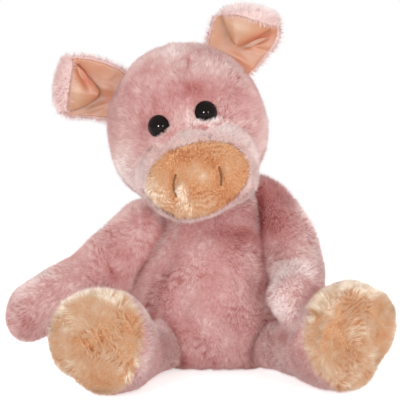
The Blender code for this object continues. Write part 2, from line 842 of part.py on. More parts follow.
# Arms and legs
for side_name, side, arm, splay_deg, _ in SIDES:
    pivot = empty(f"shoulder_pivot_{side_name}", arm["shoulder"])
    stations = arm_stations(side, arm)
    reaches = (SHOULDER_RADIUS * ROOT_POLE_SHARE, arm["hand"] * HAND_POLE_SHARE)
    name = f"arm_skin_{side_name}"
    arm_skin = limb_form(name, stations, *reaches, FRONT, plush_pink, pivot)
    root = Vector(arm["shoulder"]) - stations[0][1] * SHOULDER_RADIUS
    cut(arm_skin, ball(f"arm_mouth_{side_name}", root, SHOULDER_RADIUS * MOUTH_SHARE))
    name = f"arm_stuffing_{side_name}"
    limb_form(name, stations, *reaches, FRONT, fibre, pivot, filling)

    pivot = empty(f"hip_pivot_{side_name}", hip_place(side))
    stations = leg_stations(side, splay_deg)
    root_reach = HIP_RADIUS * ROOT_POLE_SHARE
    limb_form(f"leg_skin_{side_name}", stations, root_reach, None, UP, plush_pink, pivot)
    tip_reach = SOLE_DOME * SOLE_POLE_SHARE
    sole = sole_stations(side, splay_deg)
    limb_form(f"sole_{side_name}", sole, None, tip_reach, UP, plush_peach, pivot)
    inside = stations[:-1] + sole_stations(side, splay_deg, DOME_FILL_SHARE)
    name = f"leg_stuffing_{side_name}"
    limb_form(name, inside, root_reach, tip_reach, UP, fibre, pivot, filling)

# Tail and closing seam, on the torso's back
bpy.context.view_layer.update()
BACK_SURFACE = surface_of(torso_skin)
tail_root, tail_normal = seat_on(BACK_SURFACE, (0.0, TORSO_DEPTH, TAIL_HEIGHT), FRONT)
tail_seat = facing(tail_root, tail_normal)
tail_pivot = empty("tail_pivot", tail_root)
tail = [(0.0, 0.0, TAIL_FIT)]
for step in range(TAIL_POINTS + 1):
    angle = 2.0 * math.pi * TAIL_TURNS * step / TAIL_POINTS
    out = TAIL_FIT + 2.0 * TAIL_RADIUS + TAIL_PITCH * TAIL_TURNS * step / TAIL_POINTS
    across = TAIL_COIL_RADIUS * (math.cos(angle) - 1.0)
    tail.append((TAIL_COIL_RADIUS * math.sin(angle), across, out))
thread("tail", tail, TAIL_RADIUS, plush_pink, tail_seat, tail_pivot, 2)

stitches = []
for step in range(CLOSING_STITCHES + 1):
    height = CLOSING_SEAM_LOW + CLOSING_SEAM_LENGTH * step / CLOSING_STITCHES
    across = CLOSING_STITCH_WIDTH * (step % 2 - 0.5)
    place, normal = seat_on(BACK_SURFACE, (across, TORSO_DEPTH, height), FRONT)
    stitches.append(place + normal * (THREAD_RADIUS + FIT))
thread(
    "closing_seam_thread", stitches, THREAD_RADIUS, pink_thread, Matrix.Identity(4), None
)
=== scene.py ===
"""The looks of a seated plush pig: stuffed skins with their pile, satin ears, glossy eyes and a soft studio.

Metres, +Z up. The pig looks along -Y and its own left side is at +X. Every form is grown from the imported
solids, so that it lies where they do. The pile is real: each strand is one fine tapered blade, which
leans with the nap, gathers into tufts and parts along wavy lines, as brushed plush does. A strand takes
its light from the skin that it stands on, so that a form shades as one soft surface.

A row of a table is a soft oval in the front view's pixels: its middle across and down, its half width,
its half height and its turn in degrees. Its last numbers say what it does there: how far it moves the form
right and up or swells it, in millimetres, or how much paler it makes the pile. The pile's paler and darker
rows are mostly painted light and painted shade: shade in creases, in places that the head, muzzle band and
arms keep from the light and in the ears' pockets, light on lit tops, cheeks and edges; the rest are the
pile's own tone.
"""

import json
import math

import bmesh
import bpy
import numpy as np
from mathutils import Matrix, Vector
from mathutils.bvhtree import BVHTree


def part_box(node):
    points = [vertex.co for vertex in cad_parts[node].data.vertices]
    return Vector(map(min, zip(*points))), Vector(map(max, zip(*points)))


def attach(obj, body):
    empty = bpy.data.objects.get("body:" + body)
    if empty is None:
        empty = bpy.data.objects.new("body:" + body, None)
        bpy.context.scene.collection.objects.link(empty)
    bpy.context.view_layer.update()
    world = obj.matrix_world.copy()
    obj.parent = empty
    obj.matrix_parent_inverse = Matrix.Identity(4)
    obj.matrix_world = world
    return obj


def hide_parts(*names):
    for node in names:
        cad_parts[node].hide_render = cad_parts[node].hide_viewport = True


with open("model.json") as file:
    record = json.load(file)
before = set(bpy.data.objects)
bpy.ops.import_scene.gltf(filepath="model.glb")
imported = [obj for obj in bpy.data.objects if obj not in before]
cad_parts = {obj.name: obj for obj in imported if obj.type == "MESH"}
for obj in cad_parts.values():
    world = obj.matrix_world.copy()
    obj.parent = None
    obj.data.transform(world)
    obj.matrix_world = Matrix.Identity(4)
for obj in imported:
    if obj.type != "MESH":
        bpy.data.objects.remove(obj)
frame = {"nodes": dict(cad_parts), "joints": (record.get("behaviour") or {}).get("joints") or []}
NODES = frame["nodes"]
JOINTS = {joint["name"]: joint for joint in frame["joints"]}
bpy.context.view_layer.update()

MM = 0.001
SIDES = ("right", "left")

# Camera, at the photograph's angle
PHOTO_PIXELS = 400
MM_PER_PIXEL = 0.55
CAMERA_TARGET = Vector((-8.25, 0.0, 90.0)) * MM
CAMERA_DISTANCE = 0.9
CAMERA_ELEVATION_DEG = 8.8
SENSOR_WIDTH = 36.0
LIFT = math.radians(CAMERA_ELEVATION_DEG)
CAMERA_BACK = Vector((0.0, -math.cos(LIFT), math.sin(LIFT)))
CAMERA_PLACE = CAMERA_TARGET + CAMERA_BACK * CAMERA_DISTANCE
FRONT_RANGE = (-0.1, 0.3)

# Stuffed forms
VOXEL = 1.6 * MM
THIN_VOXEL = 0.9 * MM
EAR_VOXEL = 0.6 * MM
SMOOTH_STEPS = 14
THIN_SMOOTH_STEPS = 8
EAR_SMOOTH_STEPS = 10
TAIL_SMOOTH_STEPS = 6
BACKING_SET = 0.2 * MM
WELD_GAP = 0.001 * MM
LUMP_SIZE = 26.0 * MM

# Pile: its strands, and how far it is hidden by what lies on it
STRANDS_PER_SQUARE_MM = 9.0
STRANDS_PER_PIECE = 190000
STRAND_WIDTH = 0.30 * MM
WIDTH_RANGE = (0.7, 1.3)
PILE_LENGTH = 3.1 * MM
LENGTH_SPREAD = 0.12
ROOT_SUNK_MM = 0.15
FLOOR_GAP = 0.1 * MM
INSIDE_BY = 0.3 * MM
UNDER_REACH = 3.0 * MM
BAKE_HALF_WIDTH = 0.004

# Pile: its tufts, and the wavy ridges that it parts between
TUFT_SPACING = 1.9 * MM
TUFT_TURN = 0.28
GATHER_RANGE = (0.5, 1.0)
SWIRL_SIZE = 24.0 * MM
STREAK_SPACING = 2.4 * MM
BEND, BEND_SIZE = 3.4, 17.0 * MM
FINE_BEND, FINE_BEND_SIZE = 1.3, 6.5 * MM
PARTED_SIZE = 30.0 * MM
PARTED_RANGE = (-0.6, 1.0)
SLANT_LIMITS = (0.1, 2.0)
MOOD_SLANT, MOOD_LENGTH, MOOD_TINT = 0.16, 0.07, 0.06
# The ridge tint is painted light on the ridges' crests and painted shade in their valleys.
RIDGE_SLANT, RIDGE_LENGTH, RIDGE_SHADE_TINT = 0.25, 0.12, 0.12
SIDE_SPREAD = 0.6

# Pile: its light, and its tint from 0 at the deepest to 1 at the palest. The tint carries painted light and
# painted shade as well as the pile's own tone.
PILE_FACE = (0.0, -0.34, 0.12)
LIMB_FACE = (0.0, -0.70, 0.20)
SOLE_FACE = (0.0, -1.0, 0.2)
RIDGE_FACING, TUFT_FACING = 0.16, 0.10
TINT_SPREAD = 0.05
TINT_LIMITS = (0.01, 0.99)
# Painted shade in the partings, where the pile opens between ridges.
PARTING_PAINTED_SHADE, PARTING_SHADE_FROM = 0.42, 0.4
# Painted light: pile that faces up is paler, as if lit from above.
TOP_PAINTED_LIGHT = 0.16
TOP_PAINTED_LIGHT_RANGE = (0.35, 0.95)
SHORTEST = 0.35

# Eyes
EYE_RADIUS = 6.0 * MM
EYE_DOME = 4.4 * MM
EYE_LIP = 0.5 * MM
EYE_LIP_SHARE = 0.96
EYE_POST_RADIUS = 1.5 * MM
EYE_POST_LENGTH = 11.0 * MM
EYE_RINGS = 24
EYE_SEGMENTS = 48
EYE_CLEARANCE = 0.2 * MM
EYE_DEEP = 14.0 * MM


def middle(node):
    low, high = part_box(node)
    return (low + high) / 2.0


HEAD_ACROSS = -Vector(JOINTS["neck_nod"]["axis"]).normalized()
HEAD_BACK = (Vector((0.0, 1.0, 0.0)) - HEAD_ACROSS * HEAD_ACROSS.y).normalized()
HEAD_UP = HEAD_ACROSS.cross(HEAD_BACK)
HEAD_MIDDLE = middle("head_skin")
SNOUT_MIDDLE = middle("snout_pad")


# Noise that is the same on each run


class Waves:
    """A smooth random field in space, made of a few sine waves of about one wavelength."""

    def __init__(self, seed, wavelength, count=7):
        source = np.random.default_rng(seed)
        ways = source.normal(size=(count, 3))
        ways /= np.linalg.norm(ways, axis=1)[:, None]
        self.ways = ways * (2.0 * math.pi / wavelength) * source.uniform(0.7, 1.4, (count, 1))
        self.phases = source.uniform(0.0, 2.0 * math.pi, count)
        self.scale = 1.0 / math.sqrt(count / 2.0)

    def at(self, points):
        return np.sin(points @ self.ways.T + self.phases).sum(axis=1) * self.scale


def vector_waves(seed, wavelength, points):
    return np.stack([Waves(seed + axis, wavelength).at(points) for axis in range(3)], axis=1)


def unit(vectors):
    return vectors / np.maximum(np.linalg.norm(vectors, axis=1), 1e-9)[:, None]


def smooth_step(values, low, high):
    share = np.clip((values - low) / (high - low), 0.0, 1.0)
    return share * share * (3.0 - 2.0 * share)


def in_head(points):
    """Points in the head's own directions from its middle: across, back and up."""
    axes = np.array([HEAD_ACROSS, HEAD_BACK, HEAD_UP])
    return (points - np.array(HEAD_MIDDLE)) @ axes.T


def front_view(points):
    """Where points lie in the front view, in pixels right of and below its top left corner."""
    from_camera = points - np.array(CAMERA_PLACE)
    depth = from_camera @ -np.array(CAMERA_BACK)
    scale = CAMERA_DISTANCE / depth / (MM_PER_PIXEL * MM)
    rise = from_camera[:, 1] * math.sin(LIFT) + from_camera[:, 2] * math.cos(LIFT)
    return PHOTO_PIXELS / 2 + from_camera[:, 0] * scale, PHOTO_PIXELS / 2 - rise * scale


def oval(points, across, down, half_width, half_height, turn):
    """A soft oval spot of the front view: 1 at its middle and next to nothing at twice its size."""
    x, y = front_view(points)
    cos, sin = math.cos(math.radians(turn)), math.sin(math.radians(turn))
    along = ((x - across) * cos + (y - down) * sin) / half_width
    beside = ((y - down) * cos - (x - across) * sin) / half_height
    return np.exp(-along * along - beside * beside)


def front_spots(points, normals, places):
    """Soft oval spots on the side that faces the front, each with its strength."""
    total = np.zeros(len(points))
    for *spot, strength in places:
        total += strength * oval(points, *spot)
    return total * smooth_step(normals @ np.array(CAMERA_BACK), *FRONT_RANGE)


def seen_at(tree, across, down):
    """The place on a form that shows at these pixels of the front view."""
    right = (across - PHOTO_PIXELS / 2) * MM_PER_PIXEL * MM
    rise = (PHOTO_PIXELS / 2 - down) * MM_PER_PIXEL * MM
    up = Vector((0.0, math.sin(LIFT), math.cos(LIFT)))
    aim = CAMERA_TARGET + Vector((right, 0.0, 0.0)) + up * rise
    return tree.ray_cast(CAMERA_PLACE, (aim - CAMERA_PLACE).normalized())


# Forms


def new_object(name, mesh):
    obj = bpy.data.objects.new(name, mesh)
    bpy.context.scene.collection.objects.link(obj)
    return obj


def object_of(name, form):
    """An object with what has been built in a bmesh, which is freed."""
    mesh = bpy.data.meshes.new(name)
    form.to_mesh(mesh)
    form.free()
    return new_object(name, mesh)


def joined_nodes(name, nodes):
    form = bmesh.new()
    for node in nodes:
        form.from_mesh(NODES[node].data)
    bmesh.ops.remove_doubles(form, verts=form.verts, dist=WELD_GAP)
    return object_of(name, form)


def apply_modifiers(obj):
    graph = bpy.context.evaluated_depsgraph_get()
    made = bpy.data.meshes.new_from_object(obj.evaluated_get(graph), depsgraph=graph)
    old = obj.data
    obj.modifiers.clear()
    obj.data = made
    bpy.data.meshes.remove(old)
    made.name = obj.name


def stuffed_form(name, nodes, voxel, smooth_steps, grow):
    """One smooth closed form in the space that these nodes fill."""
    obj = joined_nodes(name, nodes)
    remesh = obj.modifiers.new("remesh", "REMESH")
    remesh.mode = "VOXEL"
    remesh.voxel_size = voxel
    smooth = obj.modifiers.new("smooth", "SMOOTH")
    smooth.factor = 0.5
    smooth.iterations = smooth_steps
    growth = obj.modifiers.new("growth", "DISPLACE")
    growth.mid_level = 0.0
    growth.strength = grow
    apply_modifiers(obj)
    obj.data.shade_smooth()
    return obj


def points_of(obj):
    places = np.empty(len(obj.data.vertices) * 3, np.float32)
    obj.data.vertices.foreach_get("co", places)
    return places.reshape(-1, 3).astype(float)


def normals_of(obj):
    ways = np.empty(len(obj.data.vertices) * 3, np.float32)
    obj.data.vertices.foreach_get("normal", ways)
    return ways.reshape(-1, 3).astype(float)


def set_points(obj, points):
    points[:, 2] = np.maximum(points[:, 2], 0.0)
    obj.data.vertices.foreach_set("co", points.astype(np.float32).ravel())
    obj.data.update()


def sculpt(obj, *reliefs):
    """Moves a form's skin out along its normals, by what each relief gives in millimetres."""
    points, normals = points_of(obj), normals_of(obj)
    rise = sum(relief(points, normals) for relief in reliefs)
    set_points(obj, points + normals * (rise * MM)[:, None])


def shift(obj, *places):
    """Moves what lies in soft ovals of the front view to the right and up, in millimetres."""
    points = points_of(obj)
    moved = np.zeros_like(points)
    for *spot, right, rise in places:
        moved += oval(points, *spot)[:, None] * np.array((right, 0.0, rise)) * MM
    set_points(obj, points + moved)


def bring(obj, *places):
    """Moves what lies in soft ovals of the front view towards the front, in millimetres."""
    points = points_of(obj)
    for *spot, ahead in places:
        points += oval(points, *spot)[:, None] * np.array(CAMERA_BACK) * ahead * MM
    set_points(obj, points)


def dents(*places):
    return lambda points, normals: front_spots(points, normals, places)


def lumps(seed, depth, wavelength=LUMP_SIZE):
    """The uneven swell of stuffing."""
    broad, fine = Waves(seed, wavelength), Waves(seed + 1, wavelength / 2.6)
    return lambda points, normals: depth * broad.at(points) + 0.35 * depth * fine.at(points)


def tree_of(obj):
    mesh = obj.data
    return BVHTree.FromPolygons(
        [vertex.co for vertex in mesh.vertices], [list(face.vertices) for face in mesh.polygons]
    )


# Materials


def new_material(name):
    made = bpy.data.materials.new(name)
    made.use_nodes = True
    tree = made.node_tree
    return made, tree, tree.nodes["Principled BSDF"], tree.nodes["Material Output"]


def set_inputs(node, values):
    for name, value in values.items():
        node.inputs[name].default_value = value


def ramp(tree, stops, source):
    node = tree.nodes.new("ShaderNodeValToRGB")
    elements = node.color_ramp.elements
    while len(elements) < len(stops):
        elements.new(0.5)
    for element, (place, colour) in zip(elements, stops):
        element.position = place
        element.color = (*colour, 1.0)
    tree.links.new(source, node.inputs["Fac"])
    return node.outputs["Color"]


def attribute(tree, name):
    node = tree.nodes.new("ShaderNodeAttribute")
    node.attribute_name = name
    return node


def noise(tree, scale):
    place = tree.nodes.new("ShaderNodeTexCoord")
    node = tree.nodes.new("ShaderNodeTexNoise")
    set_inputs(node, {"Scale": scale, "Detail": 3.0})
    tree.links.new(place.outputs["Object"], node.inputs["Vector"])
    return node.outputs["Fac"]


def bump(tree, height, strength, distance, under=None):
    node = tree.nodes.new("ShaderNodeBump")
    set_inputs(node, {"Strength": strength, "Distance": distance})
    tree.links.new(height, node.inputs["Height"])
    if under is not None:
        tree.links.new(under, node.inputs["Normal"])
    return node.outputs["Normal"]


def mottled(tree, dark, light, source):
    return ramp(tree, ((0.3, dark), (0.7, light)), source)


def multiplied(tree, first, second):
    node = tree.nodes.new("ShaderNodeMix")
    node.data_type = "RGBA"
    node.blend_type = "MULTIPLY"
    set_inputs(node, {"Factor": 1.0})
    tree.links.new(first, node.inputs["A"])
    tree.links.new(second, node.inputs["B"])
    return node.outputs["Result"]


def pile_material(name, stops, root_shade_stops):
    """Pile: its colour goes with each strand's tint and darkens towards the root, as painted shade deep in
    the pile.
    """
    made, tree, shader, _ = new_material(name)
    tint = ramp(tree, stops, attribute(tree, "tint").outputs["Fac"])
    # Painted shade: darker towards each strand's root.
    depth = ramp(tree, root_shade_stops, attribute(tree, "along").outputs["Fac"])
    tree.links.new(multiplied(tree, tint, depth), shader.inputs["Base Color"])
    set_inputs(shader, {"Roughness": 1.0, "Specular IOR Level": 0.0})
    turned = tree.nodes.new("ShaderNodeVectorTransform")
    turned.vector_type = "NORMAL"
    turned.convert_from = "OBJECT"
    turned.convert_to = "WORLD"
    tree.links.new(attribute(tree, "skin_normal").outputs["Vector"], turned.inputs["Vector"])
    tree.links.new(turned.outputs["Vector"], shader.inputs["Normal"])
    return made


def backing_material(name, dark, light):
    """The knitted backing under the pile, mottled, with a fine knit."""
    made, tree, shader, _ = new_material(name)
    tree.links.new(mottled(tree, dark, light, noise(tree, scale=900.0)), shader.inputs["Base Color"])
    set_inputs(shader, {"Roughness": 0.95, "Specular IOR Level": 0.1, "Sheen Weight": 0.05})
    knit = bump(tree, noise(tree, scale=1400.0), strength=0.5, distance=0.3 * MM)
    tree.links.new(knit, shader.inputs["Normal"])
    return made


def satin_material(name, stops):
    """Satin: smooth, with a soft gloss, a fine weave and slight creases; its tint is darker where it turns
    in, as painted shade, and paler on the flap, as painted light.
    """
    made, tree, shader, _ = new_material(name)
    base = ramp(tree, stops, attribute(tree, "tint").outputs["Fac"])
    mottle = mottled(tree, (0.90, 0.88, 0.86), (1.0, 1.0, 1.0), noise(tree, scale=160.0))
    tree.links.new(multiplied(tree, base, mottle), shader.inputs["Base Color"])
    set_inputs(shader, {
        "Roughness": 0.45, "Specular IOR Level": 0.35,
        "Sheen Weight": 0.12, "Sheen Roughness": 0.35,
    })
    place = tree.nodes.new("ShaderNodeTexCoord")
    weave = tree.nodes.new("ShaderNodeTexWave")
    set_inputs(weave, {"Scale": 900.0, "Distortion": 1.5})
    tree.links.new(place.outputs["Object"], weave.inputs["Vector"])
    threads = bump(tree, weave.outputs["Fac"], strength=0.15, distance=0.1 * MM)
    creases = bump(tree, noise(tree, scale=150.0), strength=0.6, distance=0.9 * MM, under=threads)
    tree.links.new(creases, shader.inputs["Normal"])
    return made


def plain_material(name, dark, light, roughness, scale, depth, specular=0.5):
    made, tree, shader, _ = new_material(name)
    height = noise(tree, scale)
    tree.links.new(mottled(tree, dark, light, height), shader.inputs["Base Color"])
    set_inputs(shader, {"Roughness": roughness, "Specular IOR Level": specular})
    tree.links.new(bump(tree, height, strength=0.3, distance=depth), shader.inputs["Normal"])
    return made


PINK_STOPS = (
    (0.0, (0.26, 0.06, 0.06)),
    (0.25, (0.44, 0.175, 0.165)),
    (0.5, (0.59, 0.345, 0.33)),
    (0.7, (0.67, 0.465, 0.44)),
    (0.85, (0.77, 0.60, 0.57)),
    (1.0, (0.95, 0.86, 0.83)),
)
PALE_STOPS = (
    (0.0, (0.50, 0.24, 0.22)),
    (0.3, (0.72, 0.45, 0.42)),
    (0.6, (0.86, 0.66, 0.62)),
    (1.0, (0.97, 0.88, 0.85)),
)
PEACH_STOPS = (
    (0.0, (0.32, 0.10, 0.04)),
    (0.25, (0.46, 0.205, 0.10)),
    (0.5, (0.49, 0.29, 0.175)),
    (0.7, (0.53, 0.38, 0.27)),
    (0.85, (0.63, 0.51, 0.395)),
    (1.0, (0.88, 0.81, 0.70)),
)
SATIN_STOPS = (
    (0.0, (0.26, 0.05, 0.03)),
    (0.3, (0.44, 0.12, 0.06)),
    (0.6, (0.45, 0.18, 0.095)),
    (0.8, (0.46, 0.235, 0.14)),
    (1.0, (0.50, 0.32, 0.21)),
)
# Painted shade towards the roots of the strands.
PINK_ROOT_SHADE = ((0.0, (0.66, 0.48, 0.47)), (0.5, (0.92, 0.85, 0.85)), (1.0, (1.0, 1.0, 1.0)))
PEACH_ROOT_SHADE = ((0.0, (0.74, 0.54, 0.43)), (0.5, (0.94, 0.87, 0.82)), (1.0, (1.0, 1.0, 1.0)))

PILES = {
    "body_plush": pile_material("pink_pile", PINK_STOPS, PINK_ROOT_SHADE),
    "pale_plush": pile_material("pale_pile", PALE_STOPS, PINK_ROOT_SHADE),
    "peach_plush": pile_material("peach_pile", PEACH_STOPS, PEACH_ROOT_SHADE),
}
# The backings are darker than the pile's tips, near its root colour: painted shade under the pile.
BACKINGS = {
    "body_plush": backing_material("pink_backing", (0.42, 0.17, 0.16), (0.54, 0.26, 0.25)),
    "pale_plush": backing_material("pale_backing", (0.56, 0.38, 0.36), (0.66, 0.49, 0.46)),
    "peach_plush": backing_material("peach_backing", (0.52, 0.24, 0.11), (0.62, 0.34, 0.18)),
}
EAR_BACKING = backing_material("ear_backing", (0.66, 0.44, 0.42), (0.78, 0.58, 0.55))
SATIN = satin_material("ear_satin", SATIN_STOPS)
EYE_BLACK = plain_material(
    "eye_black", (0.005, 0.0035, 0.003), (0.009, 0.006, 0.005), roughness=0.05, scale=60.0,
    depth=0.004 * MM, specular=0.13,
)
WASHER_WHITE = plain_material(
    "washer_white", (0.72, 0.72, 0.70), (0.82, 0.82, 0.80), roughness=0.4, scale=400.0, depth=0.05 * MM
)
PINK_THREAD = plain_material(
    "pink_thread", (0.50, 0.22, 0.22), (0.66, 0.34, 0.34), roughness=0.7, scale=2500.0, depth=0.1 * MM
)
# Nostril thread, darker than the snout: partly the thread's colour and partly painted shade of the creases
# that it pulls in.
PEACH_THREAD_AND_CREASE_SHADE = plain_material(
    "peach_thread", (0.13, 0.06, 0.025), (0.24, 0.12, 0.055), roughness=0.8, scale=2500.0,
    depth=0.1 * MM, specular=0.08,
)


# Pile


class Nap:
    """The way that pile is brushed: one way all over, or away from a point."""

    def __init__(self, way=None, point=None):
        self.way = None if way is None else np.array(Vector(way).normalized())
        self.point = None if point is None else np.array(point)

    def ways(self, points):
        if self.point is None:
            return np.tile(self.way, (len(points), 1))
        return unit(points - self.point)

    def run(self, points):
        """How far along the nap a point lies, so that lines of equal run cross the nap."""
        if self.point is None:
            return points @ self.way
        return np.linalg.norm(points - self.point, axis=1)


def is_covered(tree, place, way, reach):
    """Whether a place on a skin lies inside another form, or within this reach under it."""
    nearest, normal, _, _ = tree.find_nearest(place)
    if (place - nearest).dot(normal) < -INSIDE_BY:
        return True
    return tree.ray_cast(place, way, reach)[0] is not None


def surface_samples(obj, source, hidden_in, reach):
    """Random places on a form, evenly spread, with how the form faces there."""
    mesh = obj.data
    mesh.calc_loop_triangles()
    corners = np.empty(len(mesh.loop_triangles) * 3, np.int32)
    mesh.loop_triangles.foreach_get("vertices", corners)
    corners = corners.reshape(-1, 3)
    points, normals = points_of(obj), normals_of(obj)
    if hidden_in:
        centres = points[corners].mean(axis=1)
        ways = unit(normals[corners].mean(axis=1))
        seen = np.ones(len(centres), bool)
        for tree in hidden_in:
            for index in np.nonzero(seen)[0]:
                seen[index] = not is_covered(tree, Vector(centres[index]), Vector(ways[index]), reach)
        corners = corners[seen]
    a, b, c = (points[corners[:, corner]] for corner in range(3))
    areas = np.linalg.norm(np.cross(b - a, c - a), axis=1) / 2.0 / MM**2
    counts = np.floor(areas * STRANDS_PER_SQUARE_MM + source.random(len(areas))).astype(int)
    pick = np.repeat(np.arange(len(counts)), counts)
    first, second = source.random(len(pick)), source.random(len(pick))
    over = first + second > 1.0
    first[over], second[over] = 1.0 - first[over], 1.0 - second[over]
    shares = np.stack((1.0 - first - second, first, second), axis=1)
    roots = (points[corners[pick]] * shares[:, :, None]).sum(axis=1)
    ways = unit((normals[corners[pick]] * shares[:, :, None]).sum(axis=1))
    return roots, ways


def across_skin(vectors, normals):
    """The part of each vector that runs along the skin."""
    return vectors - normals * (vectors * normals).sum(axis=1)[:, None]


def tufts_of(points, spacing, seed):
    """Sorts strands into small patches: each strand's tuft, and how many tufts there are."""
    moved = points / spacing + 0.5 * vector_waves(seed, 2.4 * spacing, points)
    cells = np.floor(moved).astype(np.int64)
    keys = cells[:, 0] * 73856093 ^ cells[:, 1] * 19349663 ^ cells[:, 2] * 83492791
    _, tuft = np.unique(keys, return_inverse=True)
    return tuft, tuft.max() + 1


def tuft_means(values, tuft, count):
    sizes = np.bincount(tuft, minlength=count)
    return np.stack([np.bincount(tuft, values[:, axis], count) / sizes for axis in range(3)], axis=1)


def grow_pile(
    name, skin, body, slot, nap, tint, seed, hidden_in=(), reach=UNDER_REACH, keep=None, shorten=None,
    length=PILE_LENGTH, lean=0.8, loose=0.46, swirl=0.5, tuft_size=TUFT_SPACING, gather=0.35,
    streak=STREAK_SPACING, streaks=1.0, turn=0.0, face=PILE_FACE,
):
    """Covers a form with strands, as one or more pieces that ride with it.

    nap gives the way that the strands lie, and lean, loose, swirl and gather how much they follow it, stray
    from it, turn aside and draw together in tufts. Ridges lie streak apart, as strong as streaks says. tint
    gives how pale the strands are, keep which ones grow and shorten what share of its length each has. The
    light on them is turned by turn along the nap, and towards face."""
    source = np.random.default_rng(seed)
    roots, normals = surface_samples(skin, source, hidden_in, reach)
    if keep:
        kept = keep(roots, normals)
        roots, normals = roots[kept], normals[kept]
    count = len(roots)
    streaks = streaks(roots) if callable(streaks) else streaks
    tuft, tufts = tufts_of(roots, tuft_size, seed + 20)
    tuft_way = source.normal(size=(tufts, 3))[tuft]
    mood = source.normal(size=tufts)[tuft]

    swirls = vector_waves(seed + 10, SWIRL_SIZE, roots) * swirl
    flow = unit(across_skin(nap.ways(roots), normals))
    flow = unit(across_skin(flow + swirls + TUFT_TURN * tuft_way, normals))
    phase = 2.0 * math.pi * nap.run(roots) / streak
    bend = BEND * Waves(seed + 13, BEND_SIZE).at(roots)
    phase += bend + FINE_BEND * Waves(seed + 14, FINE_BEND_SIZE).at(roots)
    parted = smooth_step(Waves(seed + 15, PARTED_SIZE).at(roots), *PARTED_RANGE) * streaks
    ridge = np.sin(phase) * parted

    stray = across_skin(source.normal(size=(count, 3)), normals) * loose
    slant = np.clip(lean * (1.0 + MOOD_SLANT * mood - RIDGE_SLANT * ridge), *SLANT_LIMITS)
    ways = unit(normals + flow * slant[:, None] + stray)
    lengths = length * (1.0 + LENGTH_SPREAD * source.normal(size=count))
    lengths *= 1.0 + MOOD_LENGTH * mood + RIDGE_LENGTH * ridge
    if shorten:
        lengths *= shorten(roots)
    tips = roots + ways * lengths[:, None]
    gathered = gather * source.uniform(*GATHER_RANGE, count)
    tips += across_skin(tuft_means(tips, tuft, tufts)[tuft] - tips, normals) * gathered[:, None]
    sides = unit(np.cross(ways, normals) + SIDE_SPREAD * source.normal(size=(count, 3)))
    width = STRAND_WIDTH * source.uniform(*WIDTH_RANGE, count)[:, None] / 2.0

    sunk = roots - normals * ROOT_SUNK_MM * MM
    corners = np.stack((sunk - sides * width, sunk + sides * width, tips), axis=1)
    corners[:, :, 2] = np.maximum(corners[:, :, 2], FLOOR_GAP)
    tints = tint(roots, normals) + MOOD_TINT * mood + TINT_SPREAD * source.normal(size=count)
    # Painted light on the crests and painted shade in the partings between ridges.
    tints += RIDGE_SHADE_TINT * ridge
    tints -= PARTING_PAINTED_SHADE * np.clip(-ridge - PARTING_SHADE_FROM, 0.0, 1.0)
    tints = np.clip(tints, *TINT_LIMITS)
    turned = flow * (turn + RIDGE_FACING * ridge)[:, None]
    facing = unit(normals + turned + across_skin(tuft_way, normals) * TUFT_FACING)
    facing = unit(facing + np.array(face))
    for number, start in enumerate(range(0, count, STRANDS_PER_PIECE)):
        chosen = slice(start, start + STRANDS_PER_PIECE)
        label = name if count <= STRANDS_PER_PIECE else f"{name}_{number + 1}"
        piece = strands(label, corners[chosen], facing[chosen], tints[chosen])
        piece.data.materials.append(PILES[slot])
        piece.visible_shadow = False
        piece.visible_diffuse = False
        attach(piece, body)


def strands(name, corners, facing, tints):
    """A mesh of blades, each with its tint, how its skin faces and a place on the bake's map."""
    count = len(corners)
    mesh = bpy.data.meshes.new(name)
    mesh.vertices.add(count * 3)
    mesh.vertices.foreach_set("co", corners.astype(np.float32).ravel())
    mesh.loops.add(count * 3)
    mesh.loops.foreach_set("vertex_index", np.arange(count * 3, dtype=np.int32))
    mesh.polygons.add(count)
    mesh.polygons.foreach_set("loop_start", np.arange(0, count * 3, 3, dtype=np.int32))
    mesh.update(calc_edges=True)
    along = np.tile(np.array((0.0, 0.0, 1.0)), count)
    aside = np.tile(np.array((-1.0, 1.0, 0.0)) * BAKE_HALF_WIDTH, count)
    for label, values in (("tint", np.repeat(tints, 3)), ("along", along)):
        mesh.attributes.new(label, "FLOAT", "POINT").data.foreach_set("value", values.astype(np.float32))
    for label in ("skin_normal", "custom_normal"):
        normals = mesh.attributes.new(label, "FLOAT_VECTOR", "POINT")
        normals.data.foreach_set("vector", np.repeat(facing, 3, axis=0).astype(np.float32).ravel())
    places = np.stack((np.repeat(tints, 3) + aside, 0.01 + 0.98 * along), axis=1)
    layer = mesh.uv_layers.new(name="OFBake")
    layer.data.foreach_set("uv", places.astype(np.float32).ravel())
    mesh.shade_smooth()
    return new_object(name, mesh)


def cover(
    name, body, slot, nodes, voxel=VOXEL, smooth_steps=SMOOTH_STEPS, grow=BACKING_SET, backing=None
):
    """The skin of one or more soft nodes, which takes their place."""
    skin = stuffed_form(name, nodes, voxel, smooth_steps, grow)
    skin.data.materials.append(backing or BACKINGS[slot])
    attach(skin, body)
    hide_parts(*nodes)
    return skin


def patchy(seed, base, depth=0.06, wavelength=LUMP_SIZE, places=(), extra=None):
    """A tint that drifts in soft patches, is paler on top as painted light from above, and has spots of its
    own in the front view, which are painted light and painted shade mixed with the pile's own tone.
    """
    waves = Waves(seed, wavelength)
    finer = Waves(seed + 1, wavelength / 3.0)

    def tint(roots, normals):
        tints = base + depth * waves.at(roots) + 0.5 * depth * finer.at(roots)
        # Painted light and painted shade: the front-view spots, and a paler tint where the pile faces up.
        tints += front_spots(roots, normals, places) + TOP_PAINTED_LIGHT * smooth_step(normals[:, 2], *TOP_PAINTED_LIGHT_RANGE)
        return tints if extra is None else tints + extra(roots, normals)

    return tint


